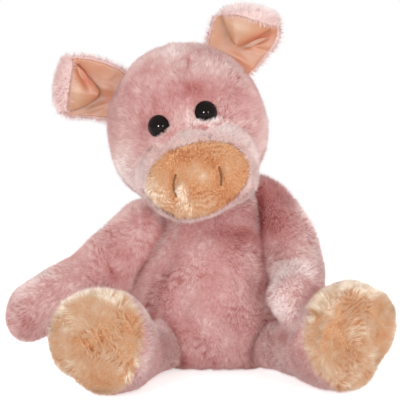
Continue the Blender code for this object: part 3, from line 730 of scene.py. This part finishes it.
# The forms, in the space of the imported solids
TORSO_NODES = ("torso_skin", "torso_stuffing", "pellet_bag")
TORSO_DENTS = (
    (254, 344, 13, 24, 0, 5.5),
    (174, 346, 11, 22, 0, 4.5),
    (226, 300, 34, 40, 0, 0.6),
)
torso = cover("torso_cover", "torso", "body_plush", TORSO_NODES)
TORSO_SHIFTS = (
    (144, 285, 14, 34, 0, -6.0, 0.0),
    (252, 186, 16, 18, 0, 6.0, 9.0),
    (250, 198, 10, 12, 0, 6.0, 6.0),
    (246, 208, 14, 18, 0, 4.0, 5.0),
    (244, 210, 22, 14, 0, 2.0, 5.0),
    (235, 384, 80, 14, 0, 0.0, 3.0),
    (212, 222, 46, 12, 0, 0.0, 3.0),
)
shift(torso, *TORSO_SHIFTS)
sculpt(torso, dents(*TORSO_DENTS), lumps(31, 0.5))
neck = cover("neck_cover", "neck", "body_plush", ["neck_stuffing"])
HEAD_NODES = ("head_skin", "head_stuffing")
head = cover("head_cover", "head", "body_plush", HEAD_NODES)
CROWN_SWELL = 2.2
CROWN_RANGE = (8.0 * MM, 44.0 * MM)
SEAM_DEPTH = 0.9
SEAM_WIDTH = 2.2 * MM
SEAM_UP_RANGE = (8.0 * MM, 20.0 * MM)
SEAM_BACK_RANGE = (6.0 * MM, 20.0 * MM)


def crown(points, normals):
    return CROWN_SWELL * smooth_step(in_head(points)[:, 2], *CROWN_RANGE)


def centre_seam(points, normals):
    """The seam up the middle of the forehead, deepest where its stitches gather it."""
    across, back, up = in_head(points).T
    reach = smooth_step(up, *SEAM_UP_RANGE) * (1.0 - smooth_step(back, *SEAM_BACK_RANGE))
    return -SEAM_DEPTH * reach * np.exp(-((across / SEAM_WIDTH) ** 2))


HEAD_SHIFTS = (
    (114, 184, 20, 26, 0, -2.8, -2.6),
    (136, 200, 14, 12, 0, -3.6, -5.0),
    (272, 166, 12, 22, 0, 4.2, -1.4),
    (130, 190, 12, 12, 0, -1.6, -2.0),
    (148, 54, 22, 9, -20, 0.0, 1.8),
    (266, 102, 12, 26, 0, -1.2, 0.0),
)
shift(head, *HEAD_SHIFTS)
HEAD_DENTS = (
    (186, 66, 4, 10, 10, -1.6),
    (172, 56, 9, 7, 0, 0.8),
    (168, 137, 11, 5, -45, 6.8),
    (207, 125.5, 15, 4.5, 0, 6.8),
    (146, 158, 22, 20, 0, 0.8),
)
sculpt(head, crown, centre_seam, dents(*HEAD_DENTS), lumps(33, 0.35))
MUZZLE_NODES = ("muzzle_band", "muzzle_stuffing")
muzzle = cover("muzzle_cover", "head", "pale_plush", MUZZLE_NODES)
SNOUT_SHIFTS = ((184, 222, 38, 14, 0, 0.0, -2.6), (146, 190, 10, 28, 0, -1.6, 0.0))
MUZZLE_SIDE_SHIFT = (248, 186, 13, 18, 0, 2.6, -1.4)
shift(muzzle, *SNOUT_SHIFTS, MUZZLE_SIDE_SHIFT)
MUZZLE_SWELL = 0.6
MUZZLE_DENTS = ((175, 185, 10, 18, 0, -3.0), (222, 177, 10, 16, 0, -3.0))
sculpt(
    muzzle, lambda points, normals: np.full(len(points), MUZZLE_SWELL), dents(*MUZZLE_DENTS),
    lumps(35, 0.25),
)
SNOUT_DENTS = (
    (175, 185, 3.6, 13, 0, -2.2),
    (182, 190, 5, 9, 0, 0.9),
    (221, 177, 4.6, 12, 0, -2.2),
    (228, 176, 4, 9, 0, 0.6),
)
snout = cover(
    "snout_cover", "head", "peach_plush", ["snout_pad"], voxel=THIN_VOXEL, smooth_steps=THIN_SMOOTH_STEPS
)
shift(snout, *SNOUT_SHIFTS)
sculpt(snout, dents(*SNOUT_DENTS), lumps(37, 0.2, wavelength=16.0 * MM))
limbs = {}
LIMB_DENTS = {
    ("arm", "right"): [(110, 266, 15, 4, 62, -1.8), (88, 244, 12, 6, 40, 0.8)],
    ("arm", "left"): [
        (286, 270, 20, 18, 0, 2.2), (270, 288, 10, 26, 0, 1.6), (296, 246, 16, 4, 20, -0.6),
        (289, 322, 13, 12, 0, 2.0),
    ],
    ("leg", "right"): [(160, 340, 10, 26, 0, 2.0)],
    ("leg", "left"): [(289, 340, 8, 22, 0, 3.4), (278, 345, 14, 20, 0, 1.2)],
    ("sole", "right"): [(110, 332, 6, 5, 0, -0.8), (90, 344, 10, 4, 8, -0.7)],
    ("sole", "left"): [(342, 325, 7, 5, 0, -0.7), (380, 334, 5, 7, 0, -0.6)],
}
for side in SIDES:
    for limb in ("arm", "leg"):
        nodes = (f"{limb}_skin_{side}", f"{limb}_stuffing_{side}")
        limbs[limb, side] = cover(f"{limb}_cover_{side}", f"{limb}_{side}", "body_plush", nodes)
    limbs["sole", side] = cover(
        f"sole_cover_{side}", f"leg_{side}", "peach_plush", [f"sole_{side}"], voxel=THIN_VOXEL,
        smooth_steps=THIN_SMOOTH_STEPS,
    )
FOOT_SHIFTS = {
    "right": (
        (64, 340, 20, 40, 0, -2.4, 0.0), (72, 384, 18, 14, 0, 1.6, 2.4), (152, 386, 18, 11, 0, 0.6, -3.0),
    ),
    "left": (
        (352, 320, 46, 50, 0, 1.2, 1.6), (394, 318, 18, 40, 0, 2.4, 0.0), (366, 282, 32, 14, 0, 0.0, 1.8),
        (392, 300, 16, 24, 0, 2.8, 2.8), (270, 378, 26, 12, 0, 0.0, 4.6), (304, 386, 14, 9, 0, 0.0, -2.0),
        (254, 345, 12, 32, 0, 4.0, 0.0), (386, 372, 16, 20, 0, -1.6, 0.6),
    ),
}
ARM_SHIFTS = {
    "right": (
        (90, 262, 90, 60, 0, 0.0, -1.8), (18, 312, 24, 28, 0, -2.6, -2.8),
        (36, 332, 26, 12, 0, 0.0, -3.4), (16, 284, 14, 14, 0, -1.8, 1.8), (78, 250, 32, 16, 0, 0.0, -1.6),
        (124, 268, 17, 13, 0, 0.0, -12.0),
    ),
    "left": (
        (300, 200, 30, 24, 0, -2.4, -2.4), (290, 190, 16, 10, 0, -0.6, -1.8),
        (292, 324, 15, 14, 0, 3.0, -8.5), (264, 186, 16, 15, 0, -3.2, 7.4),
        (266, 176, 10, 8, 0, 0.0, 3.2), (252, 218, 11, 22, 0, 3.0, 0.0), (266, 292, 12, 34, 0, -3.4, 0.0),
    ),
}
LEFT_HAND_AHEAD = (290, 326, 15, 16, 0, 7.0)
LIMB_LUMPS = {"arm": 0.4, "leg": 0.4, "sole": 0.2}
bring(limbs["arm", "left"], LEFT_HAND_AHEAD)
for side in SIDES:
    shift(limbs["arm", side], *ARM_SHIFTS[side])
    for part in ("leg", "sole"):
        shift(limbs[part, side], *FOOT_SHIFTS[side])
for number, (key, form) in enumerate(limbs.items()):
    sculpt(form, dents(*LIMB_DENTS[key]), lumps(40 + 2 * number, LIMB_LUMPS[key[0]]))


# Eyes: a polished dome on a post


def eye_profile():
    """The dome and its post, as distances from their axis and heights from the dome's top."""
    cap = EYE_DOME / 2.0 + EYE_RADIUS**2 / (2.0 * EYE_DOME)
    profile = []
    for step in range(1, EYE_RINGS + 1):
        angle = math.asin(EYE_RADIUS / cap) * step / EYE_RINGS
        profile.append((cap * math.sin(angle), cap * (math.cos(angle) - 1.0)))
    rear = -EYE_DOME - EYE_LIP
    profile += [(EYE_RADIUS * EYE_LIP_SHARE, rear), (EYE_POST_RADIUS, rear)]
    profile.append((EYE_POST_RADIUS, -EYE_POST_LENGTH))
    return profile


def eye_dome(name, apex, way):
    form = bmesh.new()
    frame_of_eye = way.to_track_quat("Z", "Y")
    turns = [2.0 * math.pi * turn / EYE_SEGMENTS for turn in range(EYE_SEGMENTS)]
    rings = []
    for radius, height in eye_profile():
        ring = [Vector((radius * math.cos(turn), radius * math.sin(turn), height)) for turn in turns]
        rings.append([form.verts.new(apex + frame_of_eye @ place) for place in ring])
    tip = form.verts.new(apex)
    for turn in range(EYE_SEGMENTS):
        after = (turn + 1) % EYE_SEGMENTS
        form.faces.new((tip, rings[0][turn], rings[0][after]))
        for upper, lower in zip(rings, rings[1:]):
            form.faces.new((upper[turn], lower[turn], lower[after], upper[after]))
    form.faces.new(list(reversed(rings[-1])))
    dome = object_of(name, form)
    dome.data.shade_smooth()
    return dome


EYES = {}
for side in SIDES:
    eye = points_of(NODES[f"eye_{side}"])
    washer = points_of(NODES[f"eye_washer_{side}"])
    way = Vector(eye.mean(axis=0) - washer.mean(axis=0)).normalized()
    centre = Vector(eye.mean(axis=0))
    apex = centre + way * float(((eye - np.array(centre)) @ np.array(way)).max())
    EYES[side] = (apex, way)
    dome = eye_dome(f"eye_dome_{side}", apex, way)
    dome.data.materials.append(EYE_BLACK)
    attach(dome, "head")
    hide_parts(f"eye_{side}")

EYE_SHORT_RANGE = (6.5 * MM, 11.0 * MM)
BELOW_EYE_SHARE = 0.9
BELOW_EYE_RANGE = (2.0 * MM, 5.0 * MM)


def clear_of_eyes(roots, normals):
    """Leaves out the pile that would stand under a dome."""
    kept = np.ones(len(roots), bool)
    for apex, way in EYES.values():
        offset = roots - np.array(apex - way * EYE_DOME)
        along = offset @ np.array(way)
        flat = offset - np.outer(along, np.array(way))
        kept &= (np.linalg.norm(flat, axis=1) > EYE_RADIUS + EYE_CLEARANCE) | (along < -EYE_DEEP)
    return kept


def short_by_eyes(roots):
    """Pile is short round the eyes, except below them, where it covers the domes' edges."""
    share = np.ones(len(roots))
    for apex, _ in EYES.values():
        gap = np.linalg.norm(roots - np.array(apex), axis=1)
        drop = -(in_head(roots)[:, 2] - in_head(np.array([apex]))[0, 2])
        round_eye = SHORTEST + (1.0 - SHORTEST) * smooth_step(gap, *EYE_SHORT_RANGE)
        share *= np.maximum(round_eye, BELOW_EYE_SHARE * smooth_step(drop, *BELOW_EYE_RANGE))
    return share


# The pile of the torso and the head
TREES = {obj.name: tree_of(obj) for obj in (torso, neck, head, muzzle, snout, *limbs.values())}
limb_trees = [TREES[f"{limb}_cover_{side}"] for limb in ("arm", "leg") for side in SIDES]
DOWN = Nap(way=(0.0, -0.25, -1.0))
LEAST_STREAKS = 0.45
SEAM_BLEND_PIXELS = (168.0, 200.0)
STREAK_FADE = (-20.0 * MM, 12.0 * MM)


def face_streaks(roots):
    """Streaks are weak on the face's right and strong on its left, and weaken towards the back."""
    fading = 1.0 - smooth_step(in_head(roots)[:, 1], *STREAK_FADE)
    return LEAST_STREAKS + smooth_step(front_view(roots)[0], *SEAM_BLEND_PIXELS) * fading


# Painted light and painted shade on the face, such as the dark forehead seam and the pale cheek and
# forehead, mixed with patches of the pile's own tone.
HEAD_SHADE_LIGHT_AND_TONE_SPOTS = (
    (132, 124, 24, 24, 0, -0.03),
    (190, 92, 20, 15, 0, -0.28),
    (174, 60, 11, 10, 0, 0.24),
    (186, 118, 17, 10, -14, 0.12),
    (204, 127, 9, 3, 0, 0.22),
    (214, 125, 24, 5, 0, 0.34),
    (160, 142, 12, 6, -34, 0.10),
    (236, 80, 20, 16, 30, 0.06),
    (187, 66, 2.2, 8, 10, -0.46),
    (184, 112, 8, 18, -20, 0.16),
    (120, 174, 20, 30, 0, 0.52),
    (140, 196, 14, 14, 0, 0.36),
    (266, 138, 11, 44, 0, 0.34),
    (240, 96, 24, 24, 0, -0.05),
)
# Mostly painted shade: under the muzzle and head, in the creases at the arms and legs and along the bottom;
# the few paler rows are painted light.
TORSO_SHADE_AND_LIGHT_SPOTS = (
    (232, 234, 40, 10, 0, -0.36),
    (250, 214, 14, 9, 0, -0.16),
    (250, 200, 9, 7, 0, 0.18),
    (184, 246, 24, 16, 0, 0.12),
    (146, 257, 30, 4.5, 115, -0.50),
    (262, 255, 5, 40, 0, -0.22),
    (168, 338, 14, 26, -24, -0.34),
    (192, 360, 22, 7, 0, -0.22),
    (266, 345, 6, 26, 0, -0.26),
    (205, 300, 40, 40, 0, 0.05),
)
grow_pile(
    "torso_pile", torso, "torso", "body_plush", DOWN,
    patchy(seed=1, base=0.52, depth=0.05, places=TORSO_SHADE_AND_LIGHT_SPOTS), seed=1,
    hidden_in=[*limb_trees, TREES["neck_cover"]],
)
grow_pile(
    "head_pile", head, "head", "body_plush", Nap(point=SNOUT_MIDDLE),
    patchy(seed=2, base=0.52, depth=0.05, places=HEAD_SHADE_LIGHT_AND_TONE_SPOTS), seed=2,
    hidden_in=[TREES["muzzle_cover"]], keep=clear_of_eyes, shorten=short_by_eyes, streaks=face_streaks,
)
# Painted light on the band's top and sides, and painted shade where it meets the head below the eye.
MUZZLE_SHADE_AND_LIGHT_SPOTS = (
    (154, 147, 17, 7, -30, -0.16),
    (214, 128, 26, 6, 6, 0.10),
    (255, 165, 10, 22, 0, 0.22),
    (137, 185, 9, 28, 0, 0.34),
)
SNOUT_TREE = tree_of(snout)
SNOUT_RIM = 2.3 * MM


def round_snout(roots, normals):
    """The muzzle's pile, without what would stand behind the snout."""
    outward = unit(roots - np.array(SNOUT_MIDDLE)) * SNOUT_RIM
    behind = [SNOUT_TREE.ray_cast(Vector(root), -HEAD_BACK)[0] is not None for root in roots + outward]
    return clear_of_eyes(roots, normals) & ~np.array(behind)


grow_pile(
    "muzzle_pile", muzzle, "head", "pale_plush", Nap(way=-HEAD_BACK),
    patchy(seed=3, base=0.47, depth=0.07, places=MUZZLE_SHADE_AND_LIGHT_SPOTS), seed=3,
    hidden_in=[TREES["head_cover"], TREES["snout_cover"]], keep=round_snout, reach=1.0 * MM,
    streaks=0.8, turn=0.7, face=(0.0, 0.0, 0.0),
)
# Painted shade in the nostril creases, under the muzzle band and on the lower right, painted light on the
# lower left and round the nostrils, and patches of the snout's own tone.
SNOUT_SHADE_LIGHT_AND_TONE_SPOTS = (
    (190, 152, 32, 11, -14, -0.20),
    (240, 206, 16, 16, 30, -0.20),
    (163, 208, 22, 22, 0, 0.18),
    (236, 158, 14, 10, 0, 0.10),
    (173, 186, 2.6, 15, 0, -0.62),
    (181.5, 190, 5, 9, 0, 0.90),
    (221, 177, 4.8, 12, -6, -0.60),
    (227, 172, 4, 12, 8, 0.26),
    (190, 210, 24, 8, 0, 0.22),
    (152, 190, 13, 26, 0, 0.36),
    (196, 178, 20, 12, 0, 0.04),
    (222, 198, 22, 8, -36, -0.12),
)
NOSTRIL_LINES = {
    "right": ((176, 174), (173.6, 180), (173, 186), (174.2, 192), (177, 197)),
    "left": ((219, 166), (220.4, 171), (221.2, 176), (221.4, 181), (221, 186)),
}
NOSTRIL_WIDTH = 1.2 * MM
NOSTRIL_RISE_MM = 0.05
NOSTRIL_SHORT_RANGE = (0.8 * MM, 2.6 * MM)
NOSTRILS = {}
for side in SIDES:
    hits = [seen_at(SNOUT_TREE, *place) for place in NOSTRIL_LINES[side]]
    NOSTRILS[side] = [place + normal * NOSTRIL_RISE_MM * MM for place, normal, _, _ in hits]


def stitched_line(name, places, width):
    """A run of thick thread along places."""
    curve = bpy.data.curves.new(name, "CURVE")
    curve.dimensions = "3D"
    curve.bevel_depth = width / 2.0
    curve.bevel_resolution = 3
    curve.use_fill_caps = True
    spline = curve.splines.new("NURBS")
    spline.points.add(len(places) - 1)
    for point, place in zip(spline.points, places):
        point.co = (*place, 1.0)
    spline.use_endpoint_u = True
    spline.order_u = 3
    return new_object(name, curve)


def short_by_stitches(roots):
    share = np.ones(len(roots))
    for line in NOSTRILS.values():
        for place in line:
            gap = np.linalg.norm(roots - np.array(place), axis=1)
            near = smooth_step(gap, *NOSTRIL_SHORT_RANGE)
            share = np.minimum(share, SHORTEST + (1.0 - SHORTEST) * near)
    return share


for side in SIDES:
    stitches = stitched_line(f"nostril_stitches_{side}", NOSTRILS[side], NOSTRIL_WIDTH)
    stitches.data.materials.append(PEACH_THREAD_AND_CREASE_SHADE)
    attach(stitches, "head")
    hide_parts(f"nostril_thread_{side}")
grow_pile(
    "snout_pile", snout, "head", "peach_plush", Nap(way=(0.3, 0.0, -1.0)),
    patchy(seed=4, base=0.38, depth=0.08, wavelength=14.0 * MM, places=SNOUT_SHADE_LIGHT_AND_TONE_SPOTS), seed=4,
    hidden_in=[TREES["muzzle_cover"]], shorten=short_by_stitches, length=2.4 * MM, lean=1.5, swirl=0.9,
    tuft_size=1.4 * MM, streak=2.0 * MM, streaks=1.5,
)

# The pile of the limbs and the neck
# Painted shade in the armpits, at the elbow, inside the upper arm, between arm and leg and in the soles'
# dimples; painted light on the forearm, the arm's outer edge and the soles' top rims; the rest is the pile's
# own tone.
LIMB_SHADE_AND_LIGHT_SPOTS = {
    ("arm", "right"): (
        (150, 252, 30, 5, 115, -0.40), (111, 268, 15, 3.5, 62, -0.34), (40, 304, 36, 28, 0, 0.17),
        (120, 246, 16, 12, 0, 0.06),
    ),
    ("arm", "left"): (
        (272, 214, 18, 30, 8, -0.52), (284, 292, 22, 34, 0, 0.34), (272, 300, 8, 26, 0, 0.16),
        (311, 216, 10, 36, -22, 0.34), (300, 262, 22, 18, 0, 0.16), (262, 235, 4, 40, 0, -0.26),
        (306, 306, 4, 20, 20, -0.30),
    ),
    ("leg", "right"): ((147, 335, 9, 34, 0, 0.12), (164, 350, 5, 26, 15, -0.10)),
    ("leg", "left"): ((292, 352, 24, 24, 0, 0.06), (284, 338, 14, 5, 0, -0.16)),
    ("sole", "right"): (
        (132, 332, 10, 14, 0, -0.24), (107, 382, 24, 12, 0, -0.22), (85, 342, 12, 3, 10, -0.30),
        (95, 298, 36, 12, 0, 0.14), (102, 289, 36, 6, 0, 0.22), (60, 312, 14, 16, 0, 0.10),
    ),
    ("sole", "left"): (
        (350, 330, 20, 24, 0, -0.06), (342, 325, 6, 4, 0, -0.22), (380, 332, 5, 9, 30, -0.22),
        (350, 288, 30, 8, 0, 0.12), (325, 350, 10, 22, 0, -0.10), (362, 372, 26, 10, 0, -0.08),
    ),
}
SOLE_VIEWS = {"right": (93, 340, 48, 56), "left": (353, 334, 46, 56)}
SOLE_START = -52.0 * MM
SOLE_FACING = 0.1
# Painted sheen: the sole's pile is paler towards its rim.
RIM_PAINTED_SHEEN = 0.22
RIM_SHEEN_RANGE = (21.0 * MM, 28.0 * MM)
# Painted shade under the head, on the front of the neck.
NECK_PAINTED_SHADE = [(230, 226, 60, 16, 0, -0.30)]


def painted_rim_sheen_of(side):
    """Sole pile is palest round the rim, a painted sheen where it stands on edge."""
    centre = np.array(middle(f"sole_{side}"))
    return lambda roots, normals: RIM_PAINTED_SHEEN * smooth_step(np.linalg.norm(roots - centre, axis=1), *RIM_SHEEN_RANGE)


def round_sole(side):
    """Where the sole's plush comes round onto the foot's side, as far as its rim shows in the front view."""
    across, down, half_width, half_height = SOLE_VIEWS[side]

    def wrapped(roots, normals):
        x, y = front_view(roots)
        inside = ((x - across) / half_width) ** 2 + ((y - down) / half_height) ** 2 < 1.0
        return inside & (normals @ np.array(CAMERA_BACK) > SOLE_FACING) & (roots[:, 1] < SOLE_START)

    return wrapped


for number, side in enumerate(SIDES):
    wrapped = round_sole(side)
    arm, leg, sole = (limbs[part, side] for part in ("arm", "leg", "sole"))
    leg.data.materials.append(BACKINGS["peach_plush"])
    centres = np.array([face.center for face in leg.data.polygons])
    ways = np.array([face.normal for face in leg.data.polygons])
    leg.data.polygons.foreach_set("material_index", wrapped(centres, ways).astype(np.int32))
    from_shoulder = Nap(point=JOINTS[f"arm_{side}_swing"]["pos_m"])
    from_hip = Nap(point=JOINTS[f"leg_{side}_swing"]["pos_m"])
    from_sole = Nap(point=middle(f"sole_{side}"))
    torso_tree, sole_tree = TREES["torso_cover"], TREES[f"sole_cover_{side}"]
    spots = {part: LIMB_SHADE_AND_LIGHT_SPOTS[part, side] for part in ("arm", "leg", "sole")}
    soft_patches = {"seed": 9 + number, "depth": 0.07, "wavelength": 20.0 * MM, "places": spots["sole"]}
    grow_pile(
        f"arm_pile_{side}", arm, f"arm_{side}", "body_plush", from_shoulder,
        patchy(seed=5 + number, base=0.58, places=spots["arm"]), seed=5 + number,
        hidden_in=[torso_tree], face=LIMB_FACE,
    )
    grow_pile(
        f"leg_pile_{side}", leg, f"leg_{side}", "body_plush", from_hip,
        patchy(seed=7 + number, base=0.58, places=spots["leg"]), seed=7 + number,
        hidden_in=[torso_tree, sole_tree], face=LIMB_FACE,
        keep=lambda roots, normals: ~wrapped(roots, normals),
    )
    grow_pile(
        f"sole_edge_pile_{side}", leg, f"leg_{side}", "peach_plush", from_sole,
        patchy(base=0.66, **soft_patches), seed=17 + number, hidden_in=[sole_tree], keep=wrapped,
        reach=0.3 * MM, length=4.0 * MM, tuft_size=2.0 * MM, gather=0.6, streaks=1.2, face=SOLE_FACE,
    )
    grow_pile(
        f"sole_pile_{side}", sole, f"leg_{side}", "peach_plush", from_sole,
        patchy(base=0.60, extra=painted_rim_sheen_of(side), **soft_patches), seed=9 + number, length=3.4 * MM, lean=1.2,
        swirl=1.1, tuft_size=2.0 * MM, gather=0.5, streaks=1.4, face=SOLE_FACE,
    )
# The neck's pile is deeper than the torso's and darker still in front: painted shade under the head.
grow_pile(
    "neck_pile", neck, "neck", "body_plush", DOWN, patchy(seed=12, base=0.42, places=NECK_PAINTED_SHADE), seed=12,
    hidden_in=[TREES["torso_cover"], TREES["head_cover"]],
)

# Ears: a plush back that is turned over at the fold, and a satin lining cut with it
EAR_SHIFTS = {
    "right": (
        (98, 62, 26, 12, 12, 0.0, 2.4), (54, 120, 12, 14, 0, 3.0, 3.2), (62, 54, 9, 9, 0, 0.6, -0.6),
        (86, 120, 26, 9, 0, 0.0, 2.2),
    ),
    "left": (
        (216, -2, 18, 14, 0, 2.0, -5.6), (281, 50, 18, 20, 0, 6.0, 0.0), (240, 0, 34, 9, 0, 0.0, -2.4),
        (280, 50, 13, 20, 0, 3.0, 0.0), (274, 64, 10, 10, 0, 2.0, -2.0), (284, 22, 8, 12, 0, -2.0, 0.0),
    ),
}
SATIN_DENTS = {
    "right": [
        (82, 76, 14, 3, 65, -1.2), (104, 88, 16, 5, 20, 0.8), (96, 108, 14, 3, -20, -0.6),
        (80, 92, 8, 12, 0, 0.7),
    ],
    "left": [
        (256, 42, 16, 3, -22, -1.2), (238, 58, 16, 4, 30, 0.8), (262, 50, 14, 2.5, 12, -0.6),
        (236, 28, 10, 8, 20, 0.7),
    ],
}
# Painted shade in the pocket under the flap and deep in the ear, and painted light on the flap.
SATIN_SHADE_AND_LIGHT_SPOTS = {
    "right": (
        (83, 76, 16, 7, 62, -0.50), (112, 100, 12, 14, 0, -0.24), (76, 92, 9, 18, 0, 0.18),
        (100, 70, 10, 6, 20, -0.10),
    ),
    "left": (
        (258, 40, 16, 6, -24, -0.50), (236, 66, 16, 8, 30, -0.24), (240, 27, 16, 8, 14, 0.22),
        (214, 34, 6, 14, 20, 0.06),
    ),
}
SATIN_TINT = 0.72
for number, side in enumerate(SIDES):
    back = cover(
        f"ear_cover_{side}", f"ear_{side}", "body_plush", [f"ear_back_{side}"], voxel=EAR_VOXEL,
        smooth_steps=EAR_SMOOTH_STEPS, grow=0.0, backing=EAR_BACKING,
    )
    lining = stuffed_form(f"ear_satin_{side}", [f"ear_lining_{side}"], EAR_VOXEL, EAR_SMOOTH_STEPS, grow=0.0)
    for form in (back, lining):
        shift(form, *EAR_SHIFTS[side])
        sculpt(form, dents(*SATIN_DENTS[side]))
    grow_pile(
        f"ear_pile_{side}", back, f"ear_{side}", "body_plush", Nap(point=HEAD_MIDDLE),
        patchy(seed=13 + number, base=0.80), seed=13 + number,
        hidden_in=[tree_of(lining), TREES["head_cover"]], length=3.4 * MM, lean=0.5, loose=0.5,
        face=(0.0, -0.8, 0.3),
    )
    places = points_of(lining)
    tints = SATIN_TINT + front_spots(places, normals_of(lining), SATIN_SHADE_AND_LIGHT_SPOTS[side])
    tint = lining.data.attributes.new("tint", "FLOAT", "POINT")
    tint.data.foreach_set("value", np.clip(tints, 0.0, 1.0).astype(np.float32))
    lining.data.materials.append(SATIN)
    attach(lining, f"ear_{side}")
    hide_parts(f"ear_lining_{side}")


# Carried-over pieces, and the tail


def give_material(node, material):
    NODES[node].data.materials.clear()
    NODES[node].data.materials.append(material)


for side in SIDES:
    give_material(f"eye_washer_{side}", WASHER_WHITE)
give_material("closing_seam_thread", PINK_THREAD)
tail = cover(
    "tail_cover", "tail", "body_plush", ["tail"], voxel=EAR_VOXEL, smooth_steps=TAIL_SMOOTH_STEPS, grow=0.0
)
grow_pile(
    "tail_pile", tail, "tail", "body_plush", Nap(way=(0.0, 1.0, 0.0)), patchy(seed=15, base=0.6), seed=15,
    length=2.0 * MM,
)


# Studio: lengths in metres and lamp powers in watts
WORLD_COLOUR = (1.0, 0.985, 0.975, 1.0)
WORLD_STRENGTH = 0.60
FLOOR_RADIUS = 3.0
FLOOR_COLOUR = (0.90, 0.90, 0.90, 1.0)
FLOOR_GLOW = 0.55
FLOOR_FADE = (0.16, 0.45)
LAMPS = (
    # Name, place, width, power, and whether it shows only as a glint
    ("key", (-0.55, -0.95, 0.75), 0.60, 4.6, False),
    ("fill", (0.75, -0.75, 0.30), 0.60, 4.2, False),
    ("low", (-0.02, -1.05, 0.12), 0.50, 3.4, False),
    ("rim_left", (-0.75, 0.45, 0.60), 0.45, 5.2, False),
    ("rim_right", (0.75, 0.55, 0.50), 0.45, 3.4, False),
    ("glint", (-0.26, -1.10, 0.30), 0.20, 15.0, True),
    ("faint_glint", (0.50, -0.98, 0.30), 0.16, 4.0, True),
)


def mixed_shader(tree, share, first, second):
    node = tree.nodes.new("ShaderNodeMixShader")
    tree.links.new(share, node.inputs["Fac"])
    tree.links.new(first, node.inputs[1])
    tree.links.new(second, node.inputs[2])
    return node.outputs[0]


def white_for_camera(tree, seen, unseen):
    """Shows one shader to the camera and lights with the other."""
    path = tree.nodes.new("ShaderNodeLightPath")
    either = tree.nodes.new("ShaderNodeMath")
    either.operation = "MAXIMUM"
    tree.links.new(path.outputs["Is Camera Ray"], either.inputs[0])
    tree.links.new(path.outputs["Is Transmission Ray"], either.inputs[1])
    return mixed_shader(tree, either.outputs[0], unseen, seen)


def add_world():
    world = bpy.data.worlds.new("studio")
    bpy.context.scene.world = world
    world.use_nodes = True
    tree = world.node_tree
    tree.nodes.clear()
    seen, light = (tree.nodes.new("ShaderNodeBackground") for _ in range(2))
    set_inputs(seen, {"Color": (1.0, 1.0, 1.0, 1.0)})
    set_inputs(light, {"Color": WORLD_COLOUR, "Strength": WORLD_STRENGTH})
    out = tree.nodes.new("ShaderNodeOutputWorld")
    tree.links.new(white_for_camera(tree, seen.outputs[0], light.outputs[0]), out.inputs["Surface"])


def floor_material():
    """A pale floor that takes soft shadows near the toy and fades to pure white away from it."""
    made, tree, shader, out = new_material("floor_white")
    set_inputs(shader, {"Base Color": FLOOR_COLOUR, "Roughness": 0.9})
    glow = tree.nodes.new("ShaderNodeEmission")
    set_inputs(glow, {"Strength": FLOOR_GLOW})
    added = tree.nodes.new("ShaderNodeAddShader")
    tree.links.new(shader.outputs[0], added.inputs[0])
    tree.links.new(glow.outputs[0], added.inputs[1])
    white = tree.nodes.new("ShaderNodeEmission")
    place = tree.nodes.new("ShaderNodeTexCoord")
    far = tree.nodes.new("ShaderNodeVectorMath")
    far.operation = "LENGTH"
    tree.links.new(place.outputs["Object"], far.inputs[0])
    edge = tree.nodes.new("ShaderNodeMapRange")
    edge.interpolation_type = "SMOOTHSTEP"
    set_inputs(edge, {"From Min": FLOOR_FADE[0], "From Max": FLOOR_FADE[1]})
    tree.links.new(far.outputs["Value"], edge.inputs["Value"])
    blend = mixed_shader(tree, edge.outputs["Result"], added.outputs[0], white.outputs[0])
    tree.links.new(white_for_camera(tree, blend, shader.outputs[0]), out.inputs["Surface"])
    return made


def add_floor():
    form = bmesh.new()
    bmesh.ops.create_circle(form, cap_ends=True, segments=96, radius=FLOOR_RADIUS)
    floor = object_of("floor", form)
    floor.data.materials.append(floor_material())


def add_lamps():
    for name, place, size, power, is_glint in LAMPS:
        lamp = bpy.data.lights.new(name, "AREA")
        lamp.shape = "DISK"
        lamp.size = size
        lamp.energy = power
        obj = new_object(name, lamp)
        obj.location = place
        obj.rotation_euler = (CAMERA_TARGET - Vector(place)).to_track_quat("-Z", "Y").to_euler()
        obj.visible_glossy = is_glint
        obj.visible_diffuse = not is_glint


def add_camera():
    lens = bpy.data.cameras.new("camera")
    lens.sensor_width = SENSOR_WIDTH
    lens.lens = SENSOR_WIDTH * CAMERA_DISTANCE / (PHOTO_PIXELS * MM_PER_PIXEL * MM)
    obj = new_object("camera", lens)
    obj.location = CAMERA_PLACE
    obj.rotation_euler = (-CAMERA_BACK).to_track_quat("-Z", "Y").to_euler()
    bpy.context.scene.camera = obj


bpy.context.scene.view_settings.view_transform = "Standard"
add_world()
add_floor()
add_lamps()
add_camera()
